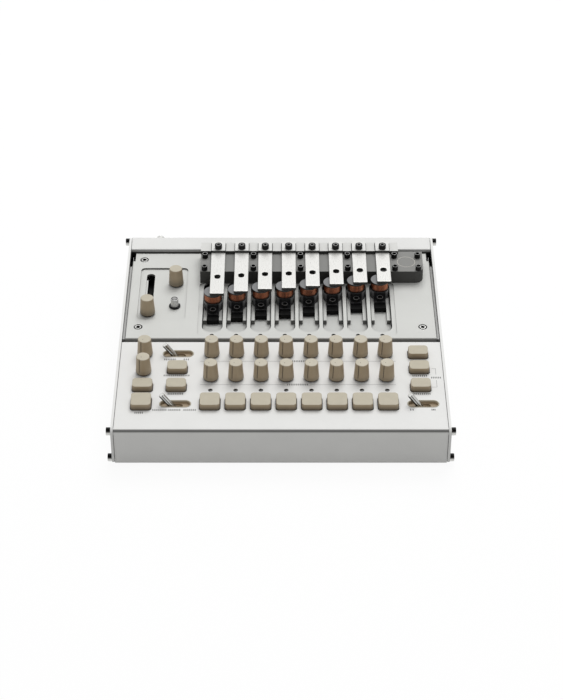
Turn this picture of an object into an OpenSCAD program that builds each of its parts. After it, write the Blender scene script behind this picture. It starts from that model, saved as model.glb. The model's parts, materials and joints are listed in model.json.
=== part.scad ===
// Desktop electromechanical synthesizer: eight tuned steel bars clamped over sliding coils,
// in a sheet-metal case with knobs, key buttons and toggles.
// Millimetres, +Z up, -Y is the player's side. The origin is the middle of the footprint, on the table.

/* [Case] */
// Height of the front and rear walls
wall_h = 28; // [26:0.5:36]
// Height of the rubber feet
foot_h = 3; // [2:0.5:6]
// Radius of the rubber feet
foot_r = 6; // [4:0.5:9]
// Distance of a foot's centre from the side plates and the walls
foot_in = 18; // [12:1:30]
// Thickness of the bent sheet
sheet_t = 1.5; // [1:0.1:1.8]
// Outer radius of the sheet's bends
bend_r = 2; // [1.9:0.1:3]
// Length of the stiffening flange under each cover's inner edge
flange_h = 7; // [5:0.5:9]
// Thickness of a side plate
side_t = 1.7; // [1.2:0.1:3]
// How far a side plate stands proud of the top, front and rear
plate_proud = 0.6; // [0.2:0.1:1.5]
// How far a side plate hangs below the walls
plate_drop = 1.2; // [0.2:0.1:1.8]
// Corner radius of a side plate
plate_r = 4.5; // [2:0.5:6]
// Depth of the strip behind the deck
strip_d = 17.2; // [14:0.1:26]
// Seam between the covers and the side plates
seam = 0.3; // [0.1:0.05:0.5]

/* [Fasteners] */
// Side screws' distance from the edges of the side plate
side_screw_in = 3.5; // [3.2:0.1:5]
// Head radius of the side screws
side_head_r = 2.7; // [2.2:0.1:3]
// Head height of the side screws
side_head_h = 3; // [2:0.1:4]
// Shank radius of the side, deck and clamp screws
shank_r = 1.5; // [1:0.1:1.6]
// Head radius of the deck's countersunk screws
deck_head_r = 3.1; // [2.6:0.1:4]
// Head radius of the clamp screws
clamp_head_r = 2.65; // [2.2:0.05:3.2]
// Head height of the clamp screws
clamp_head_h = 3.3; // [2:0.1:4]
// Head radius of the bridge screws
bridge_head_r = 2.15; // [1.6:0.05:2.5]
// Head height of the bridge screws
bridge_head_h = 3.5; // [2:0.1:5]
// Head radius of the carriages' lock screws
lock_head_r = 2.25; // [1.8:0.05:2.6]
// Head height of the carriages' lock screws
lock_head_h = 2.5; // [1.5:0.1:3]
// Shank radius of the bridge and lock screws
thin_shank_r = 1.2; // [0.8:0.1:1.3]

/* [Control layout] */
// Left inner face to the first column
edge_l = 17.2; // [14:0.1:25]
// First to second column
col_gap_1 = 22.8; // [20:0.1:30]
// Second column to the first of the eight voice columns
col_gap_2 = 23.2; // [20:0.1:30]
// Pitch of the eight voice columns
pitch = 17.05; // [16.6:0.05:20]
// Last voice column to the right column
col_gap_3 = 22.6; // [20:0.1:30]
// Right column to the right inner face
edge_r = 16.45; // [14:0.05:25]
// Front face to the row of step buttons
row_1 = 27.7; // [20:0.1:35]
// First to second row
row_gap_1 = 17.3; // [16:0.1:22]
// Second to third row
row_gap_2 = 19.2; // [15:0.1:22]
// Third to fourth row
row_gap_3 = 16.4; // [15:0.1:22]
// Fourth row to the panel's rear edge
row_edge = 15.4; // [10:0.1:20]
// Lower row of voice knobs, in front of the fourth row
knob_gap_y = 25.7; // [20:0.1:30]
// Front knob of the left column, in front of the fourth row
left_knob_gap = 19.4; // [15:0.1:22]
// Row of lamps, behind the step buttons
lamp_gap = 14.4; // [11:0.1:15.5]
// Radius of a lamp
lamp_r = 1.5; // [1:0.1:2]

/* [Buttons] */
// Width of a key button
key_w = 14.7; // [10:0.1:15]
// Depth of a large key button
key_d = 14.2; // [10:0.1:15]
// Depth of a small key button
key_small_d = 10.6; // [8:0.1:12]
// Height of a key button over the panel
key_h = 4.6; // [3:0.1:7]
// How much a key button draws in towards its top, each side
key_taper = 0.3; // [0.2:0.05:1.2]
// Corner radius of a key button at its foot
key_r = 2.4; // [2:0.1:4]
// Gap round a key button in the panel
key_gap = 0.45; // [0.2:0.05:0.5]
// Travel of a key button
key_travel = 1.2; // [0.5:0.1:2]

/* [Knobs] */
// Radius of a knob at its foot
knob_r = 5.4; // [4.5:0.1:6]
// Radius of a knob at its top
knob_top_r = 4.5; // [3.8:0.05:5]
// Height of a knob
knob_h = 13.4; // [11:0.1:18]
// Gap under a knob
knob_gap = 0.6; // [0.3:0.1:1.5]
// Radius of a knob's shaft
shaft_r = 3; // [2:0.1:3.2]
// Where the pointer rests, turned from the front towards the left
pointer_turn = 30; // [0:1:60]

/* [Toggles] */
// Radius of a toggle lever
lever_r = 1.9; // [1.2:0.1:2]
// Length of a toggle lever from its pivot
lever_len = 16; // [12:0.5:18]
// Lean of a toggle lever at rest
lever_lean = 35; // [20:1:40]
// Depth of the pivot under the panel
pivot_depth = 5.3; // [5:0.1:7]
// Width of a toggle bezel
bezel_w = 21.4; // [19:0.1:24]
// Depth of a toggle bezel, front to rear
bezel_d = 7.6; // [6.4:0.1:9]

/* [Deck] */
// Gap at the deck's two sides
deck_gap = 1.95; // [1:0.05:3]
// Gap between the panel and the deck
deck_front_gap = 2.95; // [2:0.05:4]
// Slope of the deck down to the rear
deck_tilt = 1.5; // [0:0.25:3]
// Thickness of the deck
deck_t = 3; // [2.5:0.1:4]
// Radius of the deck's upper edges
deck_edge_r = 0.9; // [0.5:0.1:1.8]
// Depth of the deck's skirt
skirt_h = 8; // [6:0.5:10]
// Front edge of the deck to the front end of the coil slots
slot_margin = 8.3; // [7:0.1:15]
// Width of a coil slot
slot_w = 14.6; // [13.8:0.1:16]
// Depth of the shallow field round the coil slots
field_depth = 0.8; // [0.3:0.1:1.2]
// Depth of the left pocket
pocket_depth = 1.3; // [0.5:0.1:1.8]
// Front edge of the deck to the left pocket
pocket_v = 22.5; // [10:0.5:30]
// Left inner face to the left pocket
pocket_in = 8.8; // [6:0.1:12]
// Corner radius of the left pocket
pocket_r = 3.2; // [1:0.1:5]
// Travel of the fader
fader_travel = 45; // [30:1:55]
// Width of the fader's slot
fader_slot_w = 6; // [5:0.1:8]
// Radius of the push button's plunger
push_r = 2.75; // [2:0.05:3]
// Height of the push button over the pocket
push_h = 7; // [5:0.1:9]
// Travel of the push button
push_travel = 2; // [1:0.1:3]

/* [Resonators] */
// Free length of the longest bar
bar_len = 51.2; // [46:0.1:60]
// Width of a bar
bar_w = 10; // [7:0.1:11]
// Thickness of a bar
bar_t = 2; // [1.5:0.1:3]
// Bars' offset to the right of their coils
bar_shift = 2.85; // [0:0.05:4]
// Place of a bar's hole, as a share of its free length from the clamp
bar_hole_at = 0.59; // [0.4:0.01:0.7]
// Radius of a bar's hole
bar_hole_r = 2.3; // [1:0.1:3]
// Length of a clamp plate
clamp_len = 12.2; // [10:0.1:16]
// Thickness of a clamp plate
clamp_t = 2; // [1.5:0.1:3]
// Clamp plates' reach in front of the clamp bar
clamp_reach = 2.5; // [1:0.1:3]
// Air between a bar and its coil
air_gap = 1; // [0.4:0.1:2]
// Clearance between the bars and the bridge block
bridge_gap = 0.5; // [0.3:0.1:1]

/* [Coils] */
// Radius of a coil's top disc
coil_r = 6.6; // [5.5:0.05:6.8]
// Thickness of a coil's top disc
disc_t = 1; // [0.6:0.1:1.5]
// Height of a winding
winding_h = 5.8; // [4:0.1:8]
// Height of a carriage's cup
cup_h = 7.1; // [5:0.1:9]
// Coil's axis behind the free end of its bar
coil_back = 6.8; // [4:0.1:8]
// Length of a carriage's tongue, from the coil's axis
tongue_len = 16.5; // [15:0.5:22]
// Thickness of a carriage's flange
flange_t = 2.4; // [1.5:0.1:3]
// Width of a carriage's tongue
tongue_w = 8.4; // [7:0.1:9]
// How far the front-most coil can slide forward
slide_front = 9.5; // [4:0.5:15]
// Clear length in front of the tongue at that end
slide_room = 9.2; // [4:0.1:12]
// Distance of the rear-most coil from the bridge block
slide_back = 2.6; // [1:0.1:6]

/* [Hidden] */
voices = 8;
// Semitones of a major scale: a clamped bar's pitch goes with one over its length squared
scale_steps = [0, 2, 4, 5, 7, 9, 11, 12];
$fn = 64;
// How far a cut runs past a face
over = 1;
// Running clearance of a shaft or pin in its hole
run = 0.05;
// Gap at a seat, and of a screw in its hole
seat = 0.05;
// Clearance of a piece that slides between flat faces
slide = 0.2;

silver = [0.87, 0.87, 0.86];
beige = [0.74, 0.7, 0.62];
dark_grey = [0.35, 0.35, 0.34];
black = [0.08, 0.08, 0.08];
steel = [0.8, 0.8, 0.78];
copper = [0.6, 0.3, 0.16];
board_green = [0.1, 0.3, 0.2];

// Columns and rows of the front panel
in_w = edge_l + col_gap_1 + col_gap_2 + (voices - 1) * pitch + col_gap_3 + edge_r;
col_1 = edge_l - in_w / 2;
col_2 = col_1 + col_gap_1;
col_3 = col_2 + col_gap_2;
col_4 = in_w / 2 - edge_r;
row_2 = row_1 + row_gap_1;
row_3 = row_2 + row_gap_2;
row_4 = row_3 + row_gap_3;
panel_d = row_4 + row_edge;
function voice_x(i) = col_3 + i * pitch;
step_keys = [for (i = [0:voices - 1]) [voice_x(i), row_1, key_d]];
left_keys = [[col_1, row_2, key_small_d], [col_1, row_1, key_d], [col_2, row_3, key_small_d],
  [col_2, row_2, key_small_d]];
right_keys = [[col_4, row_4, key_small_d], [col_4, row_3, key_small_d], [col_4, row_2, key_small_d]];
upper_knobs = [for (i = [0:voices - 1]) [voice_x(i), row_4]];
lower_knobs = [for (i = [0:voices - 1]) [voice_x(i), row_4 - knob_gap_y]];
left_knobs = [[col_1, row_4], [col_1, row_4 - left_knob_gap]];
// The rear toggle sits a little behind its row, and the right one a little outside its column
toggle_back = 1;
toggle_out = 0.9;
toggles = [[col_2, row_4 + toggle_back], [col_2, row_1], [col_4 + toggle_out, row_1]];
keys = concat(step_keys, left_keys, right_keys);
panel_knobs = concat(upper_knobs, lower_knobs, left_knobs);
lamps = [for (i = [0:voices - 1]) [voice_x(i), row_1 + lamp_gap]];

// Lengths along the deck, from its front edge
function free_len(i) = bar_len * pow(2, -scale_steps[i] / 24);
slide_limit_v = slot_margin + slide_room + tongue_len;
clamp_v = slide_limit_v + slide_front - coil_back + bar_len;
function coil_v(i) = clamp_v - free_len(i) + coil_back;
bridge_v = coil_v(voices - 1) + coil_r + slide_back;
clamp_bar_v = clamp_v + clamp_reach;
clamp_bar_over = 1.3;
clamp_bar_d = clamp_len - clamp_reach + clamp_bar_over;
bridge_end_v = clamp_bar_v + clamp_bar_d;
deck_rear = 4.1;
deck_d = bridge_end_v + deck_rear;
deck_w = in_w - 2 * deck_gap;
slot_under = 2.6;
slot_end_v = bridge_v + slot_under;
body_d = panel_d + deck_front_gap + deck_d + deck_gap / 4 + strip_d;
body_w = in_w + 2 * side_t;

// Heights over the deck
deck_drop = 0.2;
rail_h = 3.4;
rail_drop = 1.6;
rail_top = -deck_t - rail_drop;
floor_top = rail_top - rail_h;
floor_t = 1.5;
carriage_base = rail_top + seat * 2;
cup_top = carriage_base + cup_h;
winding_base = cup_top + seat;
disc_base = winding_base + winding_h + 2 * seat;
bar_base = disc_base + disc_t + air_gap;
bridge_h = bar_base - bridge_gap;
bar_top = bar_base + bar_t;
clamp_sink = 2.5;
plate_top = bar_top + seat + clamp_t;

// The eight columns of the deck, and the bridge over them
deck_shift = 0.8;
function slot_x(i) = voice_x(i) - deck_shift;
function bar_x(i) = slot_x(i) + bar_shift;
field_edge = 3;
field_in = slot_w / 2 + field_edge;
field_front = 4.8;
deck_lamp_front = 3.2;
deck_lamp_deep = 0.9;
bridge_over = 10;
bridge_x = slot_x(0) - bridge_over;
bridge_edge = 7.9;
bridge_right = in_w / 2 - bridge_edge;
bridge_corner = 6;
clamp_bar_end = 11.5;
clamp_bar_right = bar_x(voices - 1) + clamp_bar_end;
// How far the block's wide end reaches behind the clamp bar's front face
bridge_end_over = 2.8;
// Bridge screws' distance from the block's front, the clamp bar, and the block's right and left ends
bridge_screw_in = [2.4, 4.5, 3.7, 3.2];
bridge_screw_v = [bridge_v + bridge_screw_in[0], clamp_bar_v - bridge_screw_in[1]];
bridge_screw_x = concat([bridge_x + bridge_screw_in[3]],
  [for (i = [1:2:voices - 1]) bar_x(i) + pitch / 2], [bridge_right - bridge_screw_in[2]]);
// Clamp screws' heads, behind the clamp plates' front edges, and their depth in the block
clamp_screw_in = 0.55;
clamp_thread = 4;
clamp_screw_v = clamp_v + clamp_head_r + clamp_screw_in;
// The ring lies between the last screws, a little to the rear
disc_mark_back = 2;
disc_mark_x = (bridge_screw_x[5] + bridge_screw_x[4]) / 2;
disc_mark_v = (bridge_screw_v[0] + bridge_screw_v[1]) / 2 + disc_mark_back;
disc_mark_r = 6.65;
disc_mark_w = 0.6;
disc_mark_deep = 0.4;
rail_side = 0.3;
rail_w = slot_w / 2 - rail_side - tongue_w / 2 - slide;
rail_lap = 0.4;
rail_front_v = slide_limit_v - coil_r + rail_lap;

// The left pocket and what is in it
fader_in = 7.4;
pocket_col_gap = 18.8;
pocket_edge = 8.1;
fader_front = 9;
fader_rear = 10.3;
pocket_knob_in = 45.5;
push_in = 17.7;
pocket_x = pocket_in - in_w / 2;
fader_x = pocket_x + fader_in;
pocket_col = fader_x + pocket_col_gap;
pocket_w = pocket_col + pocket_edge - pocket_x;
fader_v = pocket_v + fader_front;
pocket_len = fader_front + fader_travel + fader_rear;
pocket_knob_v = pocket_v + pocket_knob_in;
push_v = pocket_v + push_in;
fader_end = 4.5;
fader_body_w = 9;
fader_body_end = 8;
push_body_w = 11;
blade_w = 3;
blade_d = 5;
collar_r = push_r + 1.35;
collar_h = 1.2;
neck_r = push_r + 0.65;

// Levels inside the case, from the panel's top face or the deck's
board_t = 1.6;
board_top = -pivot_depth - 7.7;
// The control board's overhang past the left and right columns, and its distance from the panel's two edges
board_over = [12, 10];
board_in = [9, 5];
pot_top = -6.5;
pot_w = 9.6;
pot_d = 10;
shaft_end = -9.5;
knob_edge = 0.7;
pointer_w = 1;
pointer_deep = 0.5;
switch_w = 6.4;
switch_top = -8;
stem_r = 1.6;
stem_end = -10.5;
small_board_top = -14;
small_board_in = 1;
small_board_over = 1;
small_post_in = 4;
small_post_r = 2.5;
fader_body_top = -deck_t - 1.5;
fader_floor = 4;
push_body_top = -deck_t - 1;
push_floor = 2;
// Room left under a stem, blade or plunger at the end of its travel
float_gap = 0.5;
push_low = small_board_top + push_floor + push_travel + float_gap;
key_lip = 0.8;
key_lip_t = 1;
key_foot = -sheet_t - 0.3 - key_lip_t;
pin_r = 1;
ear_in = lever_r + 0.4;
ear_t = 2;
lever_tail = 2.2;
lever_edge = 0.4;
pin_short = 0.4;
ear_w = 12;
ear_over = 1.3;
bezel_rise = 0.3;
bezel_deep = 2.9;
bezel_floor = 1;
bezel_rim = 0.8;
bezel_r = bezel_d / 2 - 0.1;
// The bezel's slot takes the lever's sweep where it passes the bezel's floor
bezel_slot = 2 * ((pivot_depth - bezel_deep + bezel_floor) * tan(lever_lean)
  + lever_r / cos(lever_lean) + 2 * slide);
bezel_slot_w = 2 * lever_r + 3 * slide;

// Rear sockets: place across and below the top, seen as jacks with a threaded collar
jack_collar_r = 3.25;
jack_reach = 3.4;
jack_bore_r = 1.75;
jack_bore = 8;
jack_nut_r = 4;
jack_nut_h = 1.6;
jack_body = [9, 8, 11];
jack_above = 2.5;
port_down = 14;
jacks = concat([[-90, 4.5]], [for (x = [-62:16:-14]) [x, port_down]]);
port_x = 18;
port_w = 9;
port_h = 3.3;
port_wall = 0.4;
port_deep = 8;
port_bore = 6;
inlet_x = 62;
inlet_r = 5;
inlet_bore_r = 3.1;
inlet_pin_r = 1;
inlet_rise = 0.4;
inlet_deep = 10;
inlet_bore = 9;

// The case in the frame
top_z = foot_h + wall_h;
front_y = -(body_d + jack_reach - plate_proud) / 2;
rear_y = front_y + body_d;
boss_r = 2.4;
boss_len = 10;
// How far the screws end short of the far side of what they hold
screw_short = 0.5;
side_screw_short = 2;
screw_y = [front_y - plate_proud + side_screw_in, rear_y + plate_proud - side_screw_in];
screw_z = [foot_h - plate_drop + side_screw_in, top_z + plate_proud - side_screw_in];
// Deck screws' distance from the two inner faces, and from the deck's front and rear edges
deck_screw_side = [10.4, 11.2];
deck_screw_end = [13.8, 8];
deck_screw_len = 10;
deck_socket = 1;
deck_screws = [[deck_screw_side[0] - in_w / 2, deck_screw_end[0]],
  [in_w / 2 - deck_screw_side[1], deck_screw_end[0]],
  [deck_screw_side[0] - in_w / 2, deck_d - deck_screw_end[1]]];
post_r = 3.5;
post_col_in = 2;
post_row_in = 14;
board_posts = [for (x = [col_1 + post_col_in, col_4 - post_col_in],
  d = [post_row_in, panel_d - post_row_in]) [x, d]];

left_names = [for (i = [1:4]) str("left_button_", i)];
right_names = [for (i = [1:3]) str("right_button_", i)];

// Places on the panel, at a distance from the front face
module on_panel(x, d) translate([x, front_y + d, top_z]) children();

// The deck's own frame: its front edge at the top, sloping down to the rear
module on_deck() translate([0, front_y + panel_d + deck_front_gap, top_z - deck_drop])
  rotate([-deck_tilt, 0, 0]) children();

// A section in Y and Z, drawn along X and centred
module along_x(w) translate([-w / 2, 0, 0]) rotate([90, 0, 90]) linear_extrude(w) children();

// Rectangle with four rounded corners, from the origin
module round_rect(w, h, r) {
  translate([r, 0]) square([w - 2 * r, h]);
  translate([0, r]) square([w, h - 2 * r]);
  for (x = [r, w - r], y = [r, h - r]) translate([x, y]) circle(r);
}

// The same, centred
module centred_rect(w, h, r) translate([-w / 2, -h / 2]) round_rect(w, h, r);

// Rectangle with its two top corners rounded
module hood(w, h, r) {
  square([w, h - r]);
  translate([r, 0]) square([w - 2 * r, h]);
  for (x = [r, w - r]) translate([x, h - r]) circle(r);
}

// Slot with round ends, centred across and running back from the origin
module stadium(w, len) {
  translate([-w / 2, w / 2]) square([w, len - w]);
  for (v = [w / 2, len - w / 2]) translate([0, v]) circle(w / 2);
}

// Section of a sheet with a full wall at its near edge and a short flange at its far edge
module bent_sheet(d) difference() {
  hood(d, wall_h, bend_r);
  translate([sheet_t, -over]) hood(d - 2 * sheet_t, wall_h - sheet_t + over, bend_r - sheet_t);
  translate([d - sheet_t - over, -over]) square([sheet_t + 2 * over, wall_h - flange_h + over]);
}

// Socket-head screw: its seat is at the origin, its head up, its shank down
module cap_screw(head_r, head_h, body_r, body_len) {
  socket_h = head_h * 0.5;
  difference() {
    cylinder(r = head_r, h = head_h);
    translate([0, 0, head_h - socket_h]) cylinder(r = head_r * 0.55, h = socket_h + over, $fn = 6);
  }
  translate([0, 0, -body_len]) cylinder(r = body_r, h = body_len);
}

// Threaded bosses at both ends of a cover, which take the side screws
module end_bosses(y) for (side = [-1, 1], z = screw_z)
  translate([side * (in_w - boss_len) / 2, y, z]) rotate([0, 90, 0])
    cylinder(r = boss_r, h = boss_len, center = true);

// Holes for the side screws, through plates and bosses
module side_holes(clear) for (side = [-1, 1], y = screw_y, z = screw_z)
  translate([side * body_w / 2, y, z]) rotate([0, 90, 0])
    cylinder(r = shank_r + clear, h = 2 * (side_t + boss_len - side_screw_short + over), center = true);

// An opening cut through the panel's sheet
module through_panel() translate([0, 0, -sheet_t - over]) linear_extrude(sheet_t + 2 * over) children();

// Front wall and control panel, bent from one sheet
module front_cover() color(silver) difference() {
  union() {
    translate([0, front_y, foot_h]) along_x(in_w - 2 * seam) bent_sheet(panel_d);
    end_bosses(screw_y[0]);
  }
  for (k = keys) on_panel(k[0], k[1]) through_panel()
    centred_rect(key_w + 2 * key_gap, k[2] + 2 * key_gap, key_r + key_gap);
  for (k = panel_knobs) on_panel(k[0], k[1]) cylinder(r = shaft_r + 0.3, h = 4 * sheet_t, center = true);
  for (t = toggles) on_panel(t[0], t[1]) through_panel()
    centred_rect(bezel_w + 2 * seat, bezel_d + 2 * seat, bezel_r + seat);
  for (k = lamps) on_panel(k[0], k[1]) cylinder(r = lamp_r + 0.1, h = 4 * sheet_t, center = true);
  side_holes(seat);
}

// Rear wall and rear strip, bent from one sheet, with the socket openings
module rear_cover() color(silver) difference() {
  union() {
    translate([0, rear_y, foot_h]) mirror([0, 1, 0]) along_x(in_w - 2 * seam) bent_sheet(strip_d);
    end_bosses(screw_y[1]);
  }
  for (j = jacks) on_rear(j[0], j[1]) cylinder(r = jack_collar_r + 0.1, h = 4 * sheet_t, center = true);
  on_rear(port_x, port_down) linear_extrude(4 * sheet_t, center = true)
    centred_rect(port_w + 0.2, port_h + 0.2, port_h / 2 - 0.1);
  on_rear(inlet_x, port_down) cylinder(r = inlet_r + 0.1, h = 4 * sheet_t, center = true);
  side_holes(seat);
}

// Places on the rear wall, at a depth below the top, looking out to the rear
module on_rear(x, down) translate([x, rear_y, top_z - down]) rotate([-90, 0, 0]) children();

// Bottom sheet, notched round the corner bosses, with posts for the board and the deck
module base_plate() color(silver) {
  plate_w = in_w - 2 * slide;
  plate_d = body_d - 2 * (sheet_t + slide);
  notch = [boss_len + 0.5, screw_y[0] - front_y + boss_r + 0.5 - sheet_t, sheet_t + 2 * over];
  difference() {
    translate([-plate_w / 2, front_y + sheet_t + slide, foot_h]) cube([plate_w, plate_d, sheet_t]);
    for (side = [-1, 1], y = [front_y + sheet_t + notch[1] / 2, rear_y - sheet_t - notch[1] / 2])
      translate([side * (in_w - notch[0]) / 2, y, foot_h + sheet_t / 2]) cube(notch, center = true);
  }
  for (p = board_posts) translate([p[0], front_y + p[1], foot_h + sheet_t / 2])
    cylinder(r = post_r, h = wall_h + board_top - board_t - sheet_t / 2);
  intersection() {
    on_deck() for (p = deck_screws) translate([p[0], p[1], -deck_t - wall_h]) difference() {
      cylinder(r = post_r, h = wall_h);
      translate([0, 0, wall_h - deck_screw_len]) cylinder(r = shank_r + seat, h = deck_screw_len + over);
    }
    translate([-body_w, -body_d, foot_h + sheet_t / 2]) cube([2 * body_w, 2 * body_d, wall_h]);
  }
}

// Two flat plates that close the ends of the case
module side_plates() color(silver) difference() {
  for (side = [-1, 1]) translate([side * (in_w + side_t) / 2, front_y - plate_proud, foot_h - plate_drop])
    along_x(side_t) round_rect(body_d + 2 * plate_proud, wall_h + plate_drop + plate_proud, plate_r);
  side_holes(seat * 2);
}

// Sloping deck: a pan with a skirt, a pocket at the left and the slots for the coils,
// and under the slots a tray with a pair of rails to each coil
module resonator_deck() color(silver) on_deck() {
  difference() {
    deck_pan();
    translate([pocket_x, pocket_v, -pocket_depth]) linear_extrude(pocket_depth + over)
      round_rect(pocket_w, pocket_len, pocket_r);
    translate([slot_x(0) - field_in, slot_margin - field_front, -field_depth])
      linear_extrude(field_depth + over)
        round_rect((voices - 1) * pitch + 2 * field_in, bridge_v - slot_margin + field_front, pocket_r);
    translate([0, 0, -skirt_h - over]) linear_extrude(skirt_h + 2 * over) {
      for (i = [0:voices - 1]) translate([slot_x(i), slot_margin])
        stadium(slot_w, slot_end_v - slot_margin);
      translate([fader_x, fader_v - fader_end]) stadium(fader_slot_w, fader_travel + 2 * fader_end);
      translate([pocket_col, pocket_knob_v]) circle(shaft_r + 0.3);
      translate([pocket_col, push_v]) circle(neck_r + 0.1);
      for (x = bridge_screw_x, v = bridge_screw_v) translate([x, v]) circle(thin_shank_r + seat);
      for (p = deck_screws) translate([p[0], p[1]]) circle(shank_r + seat);
    }
    for (i = [0:voices - 1])
      translate([slot_x(i), slot_margin - deck_lamp_front, -field_depth - deck_lamp_deep])
        cylinder(r = lamp_r, h = field_depth + over);
    for (p = deck_screws) translate([p[0], p[1], 0]) deck_screw_head(0.1);
  }
  coil_tray();
}

// The deck's plate and skirt, with rounded edges and cut-back rear corners
module deck_pan() difference() {
  intersection() {
    translate([0, 0, -skirt_h]) along_x(deck_w) hood(deck_d + deck_edge_r, skirt_h, deck_edge_r);
    translate([-deck_w / 2, deck_d, -skirt_h]) rotate([90, 0, 0]) linear_extrude(deck_d)
      hood(deck_w, skirt_h, deck_edge_r);
  }
  translate([-deck_w / 2 + sheet_t, sheet_t, -skirt_h - over])
    cube([deck_w - 2 * sheet_t, deck_d, skirt_h - deck_t + over]);
  for (side = [-1, 1]) translate([side * deck_w / 2, deck_d, -skirt_h / 2])
    cube([2 * deck_gap, 20, skirt_h + 2 * over], center = true);
}

// Tray under the coil slots: floor, rails, and walls up to the deck
module coil_tray() {
  left = slot_x(0) - field_in;
  width = (voices - 1) * pitch + 2 * field_in;
  front = slot_margin - 3;
  tall = -deck_t - seat - floor_top;
  translate([left, front, floor_top - floor_t]) cube([width, slot_end_v - front, floor_t]);
  for (x = [left, left + width - floor_t]) translate([x, front, floor_top - floor_t])
    cube([floor_t, slot_end_v - front, tall + floor_t]);
  translate([left, front, floor_top - floor_t]) cube([width, floor_t, tall + floor_t]);
  for (i = [0:voices - 1], side = [-1, 1])
    translate([slot_x(i) + side * (tongue_w / 2 + slide + rail_w / 2), rail_front_v, floor_top])
      translate([-rail_w / 2, 0, -floor_t / 2])
        cube([rail_w, slot_end_v - rail_front_v, rail_h + floor_t / 2]);
}

// Flat countersunk head, flush with the deck
module deck_screw_head(clear) {
  sink = deck_head_r - shank_r;
  translate([0, 0, -sink - clear])
    cylinder(r1 = shank_r + clear, r2 = deck_head_r + 2 * clear, h = sink + 2 * clear);
}

// Block across the deck that carries the clamp bar, with a ring marked on its wide end
module bridge_block() color(dark_grey) on_deck() difference() {
  linear_extrude(bridge_h) difference() {
    translate([bridge_x, bridge_v]) square([bridge_right - bridge_x, bridge_end_v - bridge_v]);
    translate([bridge_right - bridge_corner, bridge_v - over]) difference() {
      square([bridge_corner + over, bridge_corner + over]);
      translate([0, bridge_corner + over]) circle(bridge_corner);
    }
  }
  translate([bridge_x - over, clamp_bar_v - seat, bridge_h - clamp_sink])
    cube([clamp_bar_right - bridge_x + over + seat, clamp_bar_d + over, clamp_sink + over]);
  translate([clamp_bar_right + seat, clamp_bar_v + bridge_end_over, -over])
    cube([bridge_right - clamp_bar_right + over, clamp_bar_d + over, bridge_h + 2 * over]);
  for (i = [0:voices - 1]) translate([bar_x(i), clamp_screw_v, bridge_h - clamp_sink - clamp_thread])
    cylinder(r = shank_r + seat, h = clamp_sink + clamp_thread + over);
  for (x = bridge_screw_x, v = bridge_screw_v) translate([x, v, -over])
    cylinder(r = thin_shank_r + seat, h = bridge_h + 2 * over);
  translate([disc_mark_x, disc_mark_v, bridge_h - disc_mark_deep]) difference() {
    cylinder(r = disc_mark_r, h = over);
    cylinder(r = disc_mark_r - disc_mark_w, h = over);
  }
}

// Notched bar that the bars' ends lie in, and a plate over each end
module resonator_clamps() color(silver) on_deck() {
  base = bridge_h - clamp_sink;
  difference() {
    translate([bridge_x, clamp_bar_v, base])
      cube([clamp_bar_right - bridge_x, clamp_bar_d, bar_top - base]);
    for (i = [0:voices - 1]) translate([bar_x(i) - bar_w / 2 - 2 * seat, clamp_bar_v - over, bar_base])
      cube([bar_w + 4 * seat, clamp_bar_d + 2 * over, bar_t + over]);
    for (i = [0:voices - 1]) translate([bar_x(i), clamp_screw_v, base - over])
      cylinder(r = shank_r + seat, h = bar_top - base + 2 * over);
  }
  for (i = [0:voices - 1]) difference() {
    translate([bar_x(i) - bar_w / 2, clamp_v, bar_top + seat]) cube([bar_w, clamp_len, clamp_t]);
    translate([bar_x(i), clamp_screw_v, bar_top - over])
      cylinder(r = shank_r + seat, h = clamp_t + 2 * over);
  }
}

// Steel bars tuned to a scale: the free length falls with the square root of the pitch
module resonator_bars() color(steel) on_deck() for (i = [0:voices - 1]) difference() {
  translate([bar_x(i) - bar_w / 2, clamp_v - free_len(i), bar_base])
    cube([bar_w, free_len(i) + clamp_len, bar_t]);
  translate([bar_x(i), clamp_v - bar_hole_at * free_len(i), bar_base - over])
    cylinder(r = bar_hole_r, h = bar_t + 2 * over);
  translate([bar_x(i), clamp_screw_v, bar_base - over]) cylinder(r = shank_r + seat, h = bar_t + 2 * over);
}

// Black socket-head screws of the clamps and the bridge
module black_screws() color(black) on_deck() {
  for (i = [0:voices - 1]) translate([bar_x(i), clamp_screw_v, plate_top])
    cap_screw(clamp_head_r, clamp_head_h, shank_r,
      plate_top - bridge_h + clamp_sink + clamp_thread - screw_short);
  for (x = bridge_screw_x, v = bridge_screw_v) translate([x, v, bridge_h])
    cap_screw(bridge_head_r, bridge_head_h, thin_shank_r, bridge_h + deck_t - screw_short);
}

// Bright screws: four to a side plate, and the deck's countersunk ones
module case_screws() color(steel) {
  for (side = [-1, 1], y = screw_y, z = screw_z) translate([side * body_w / 2, y, z])
    rotate([0, side * 90, 0])
      cap_screw(side_head_r, side_head_h, shank_r, side_t + boss_len - side_screw_short);
  on_deck() for (p = deck_screws) translate([p[0], p[1], 0]) difference() {
    union() {
      deck_screw_head(0);
      translate([0, 0, -deck_screw_len]) cylinder(r = shank_r, h = deck_screw_len - over);
    }
    translate([0, 0, -deck_socket]) cylinder(r = deck_head_r * 0.5, h = deck_socket + over, $fn = 6);
  }
}

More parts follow.
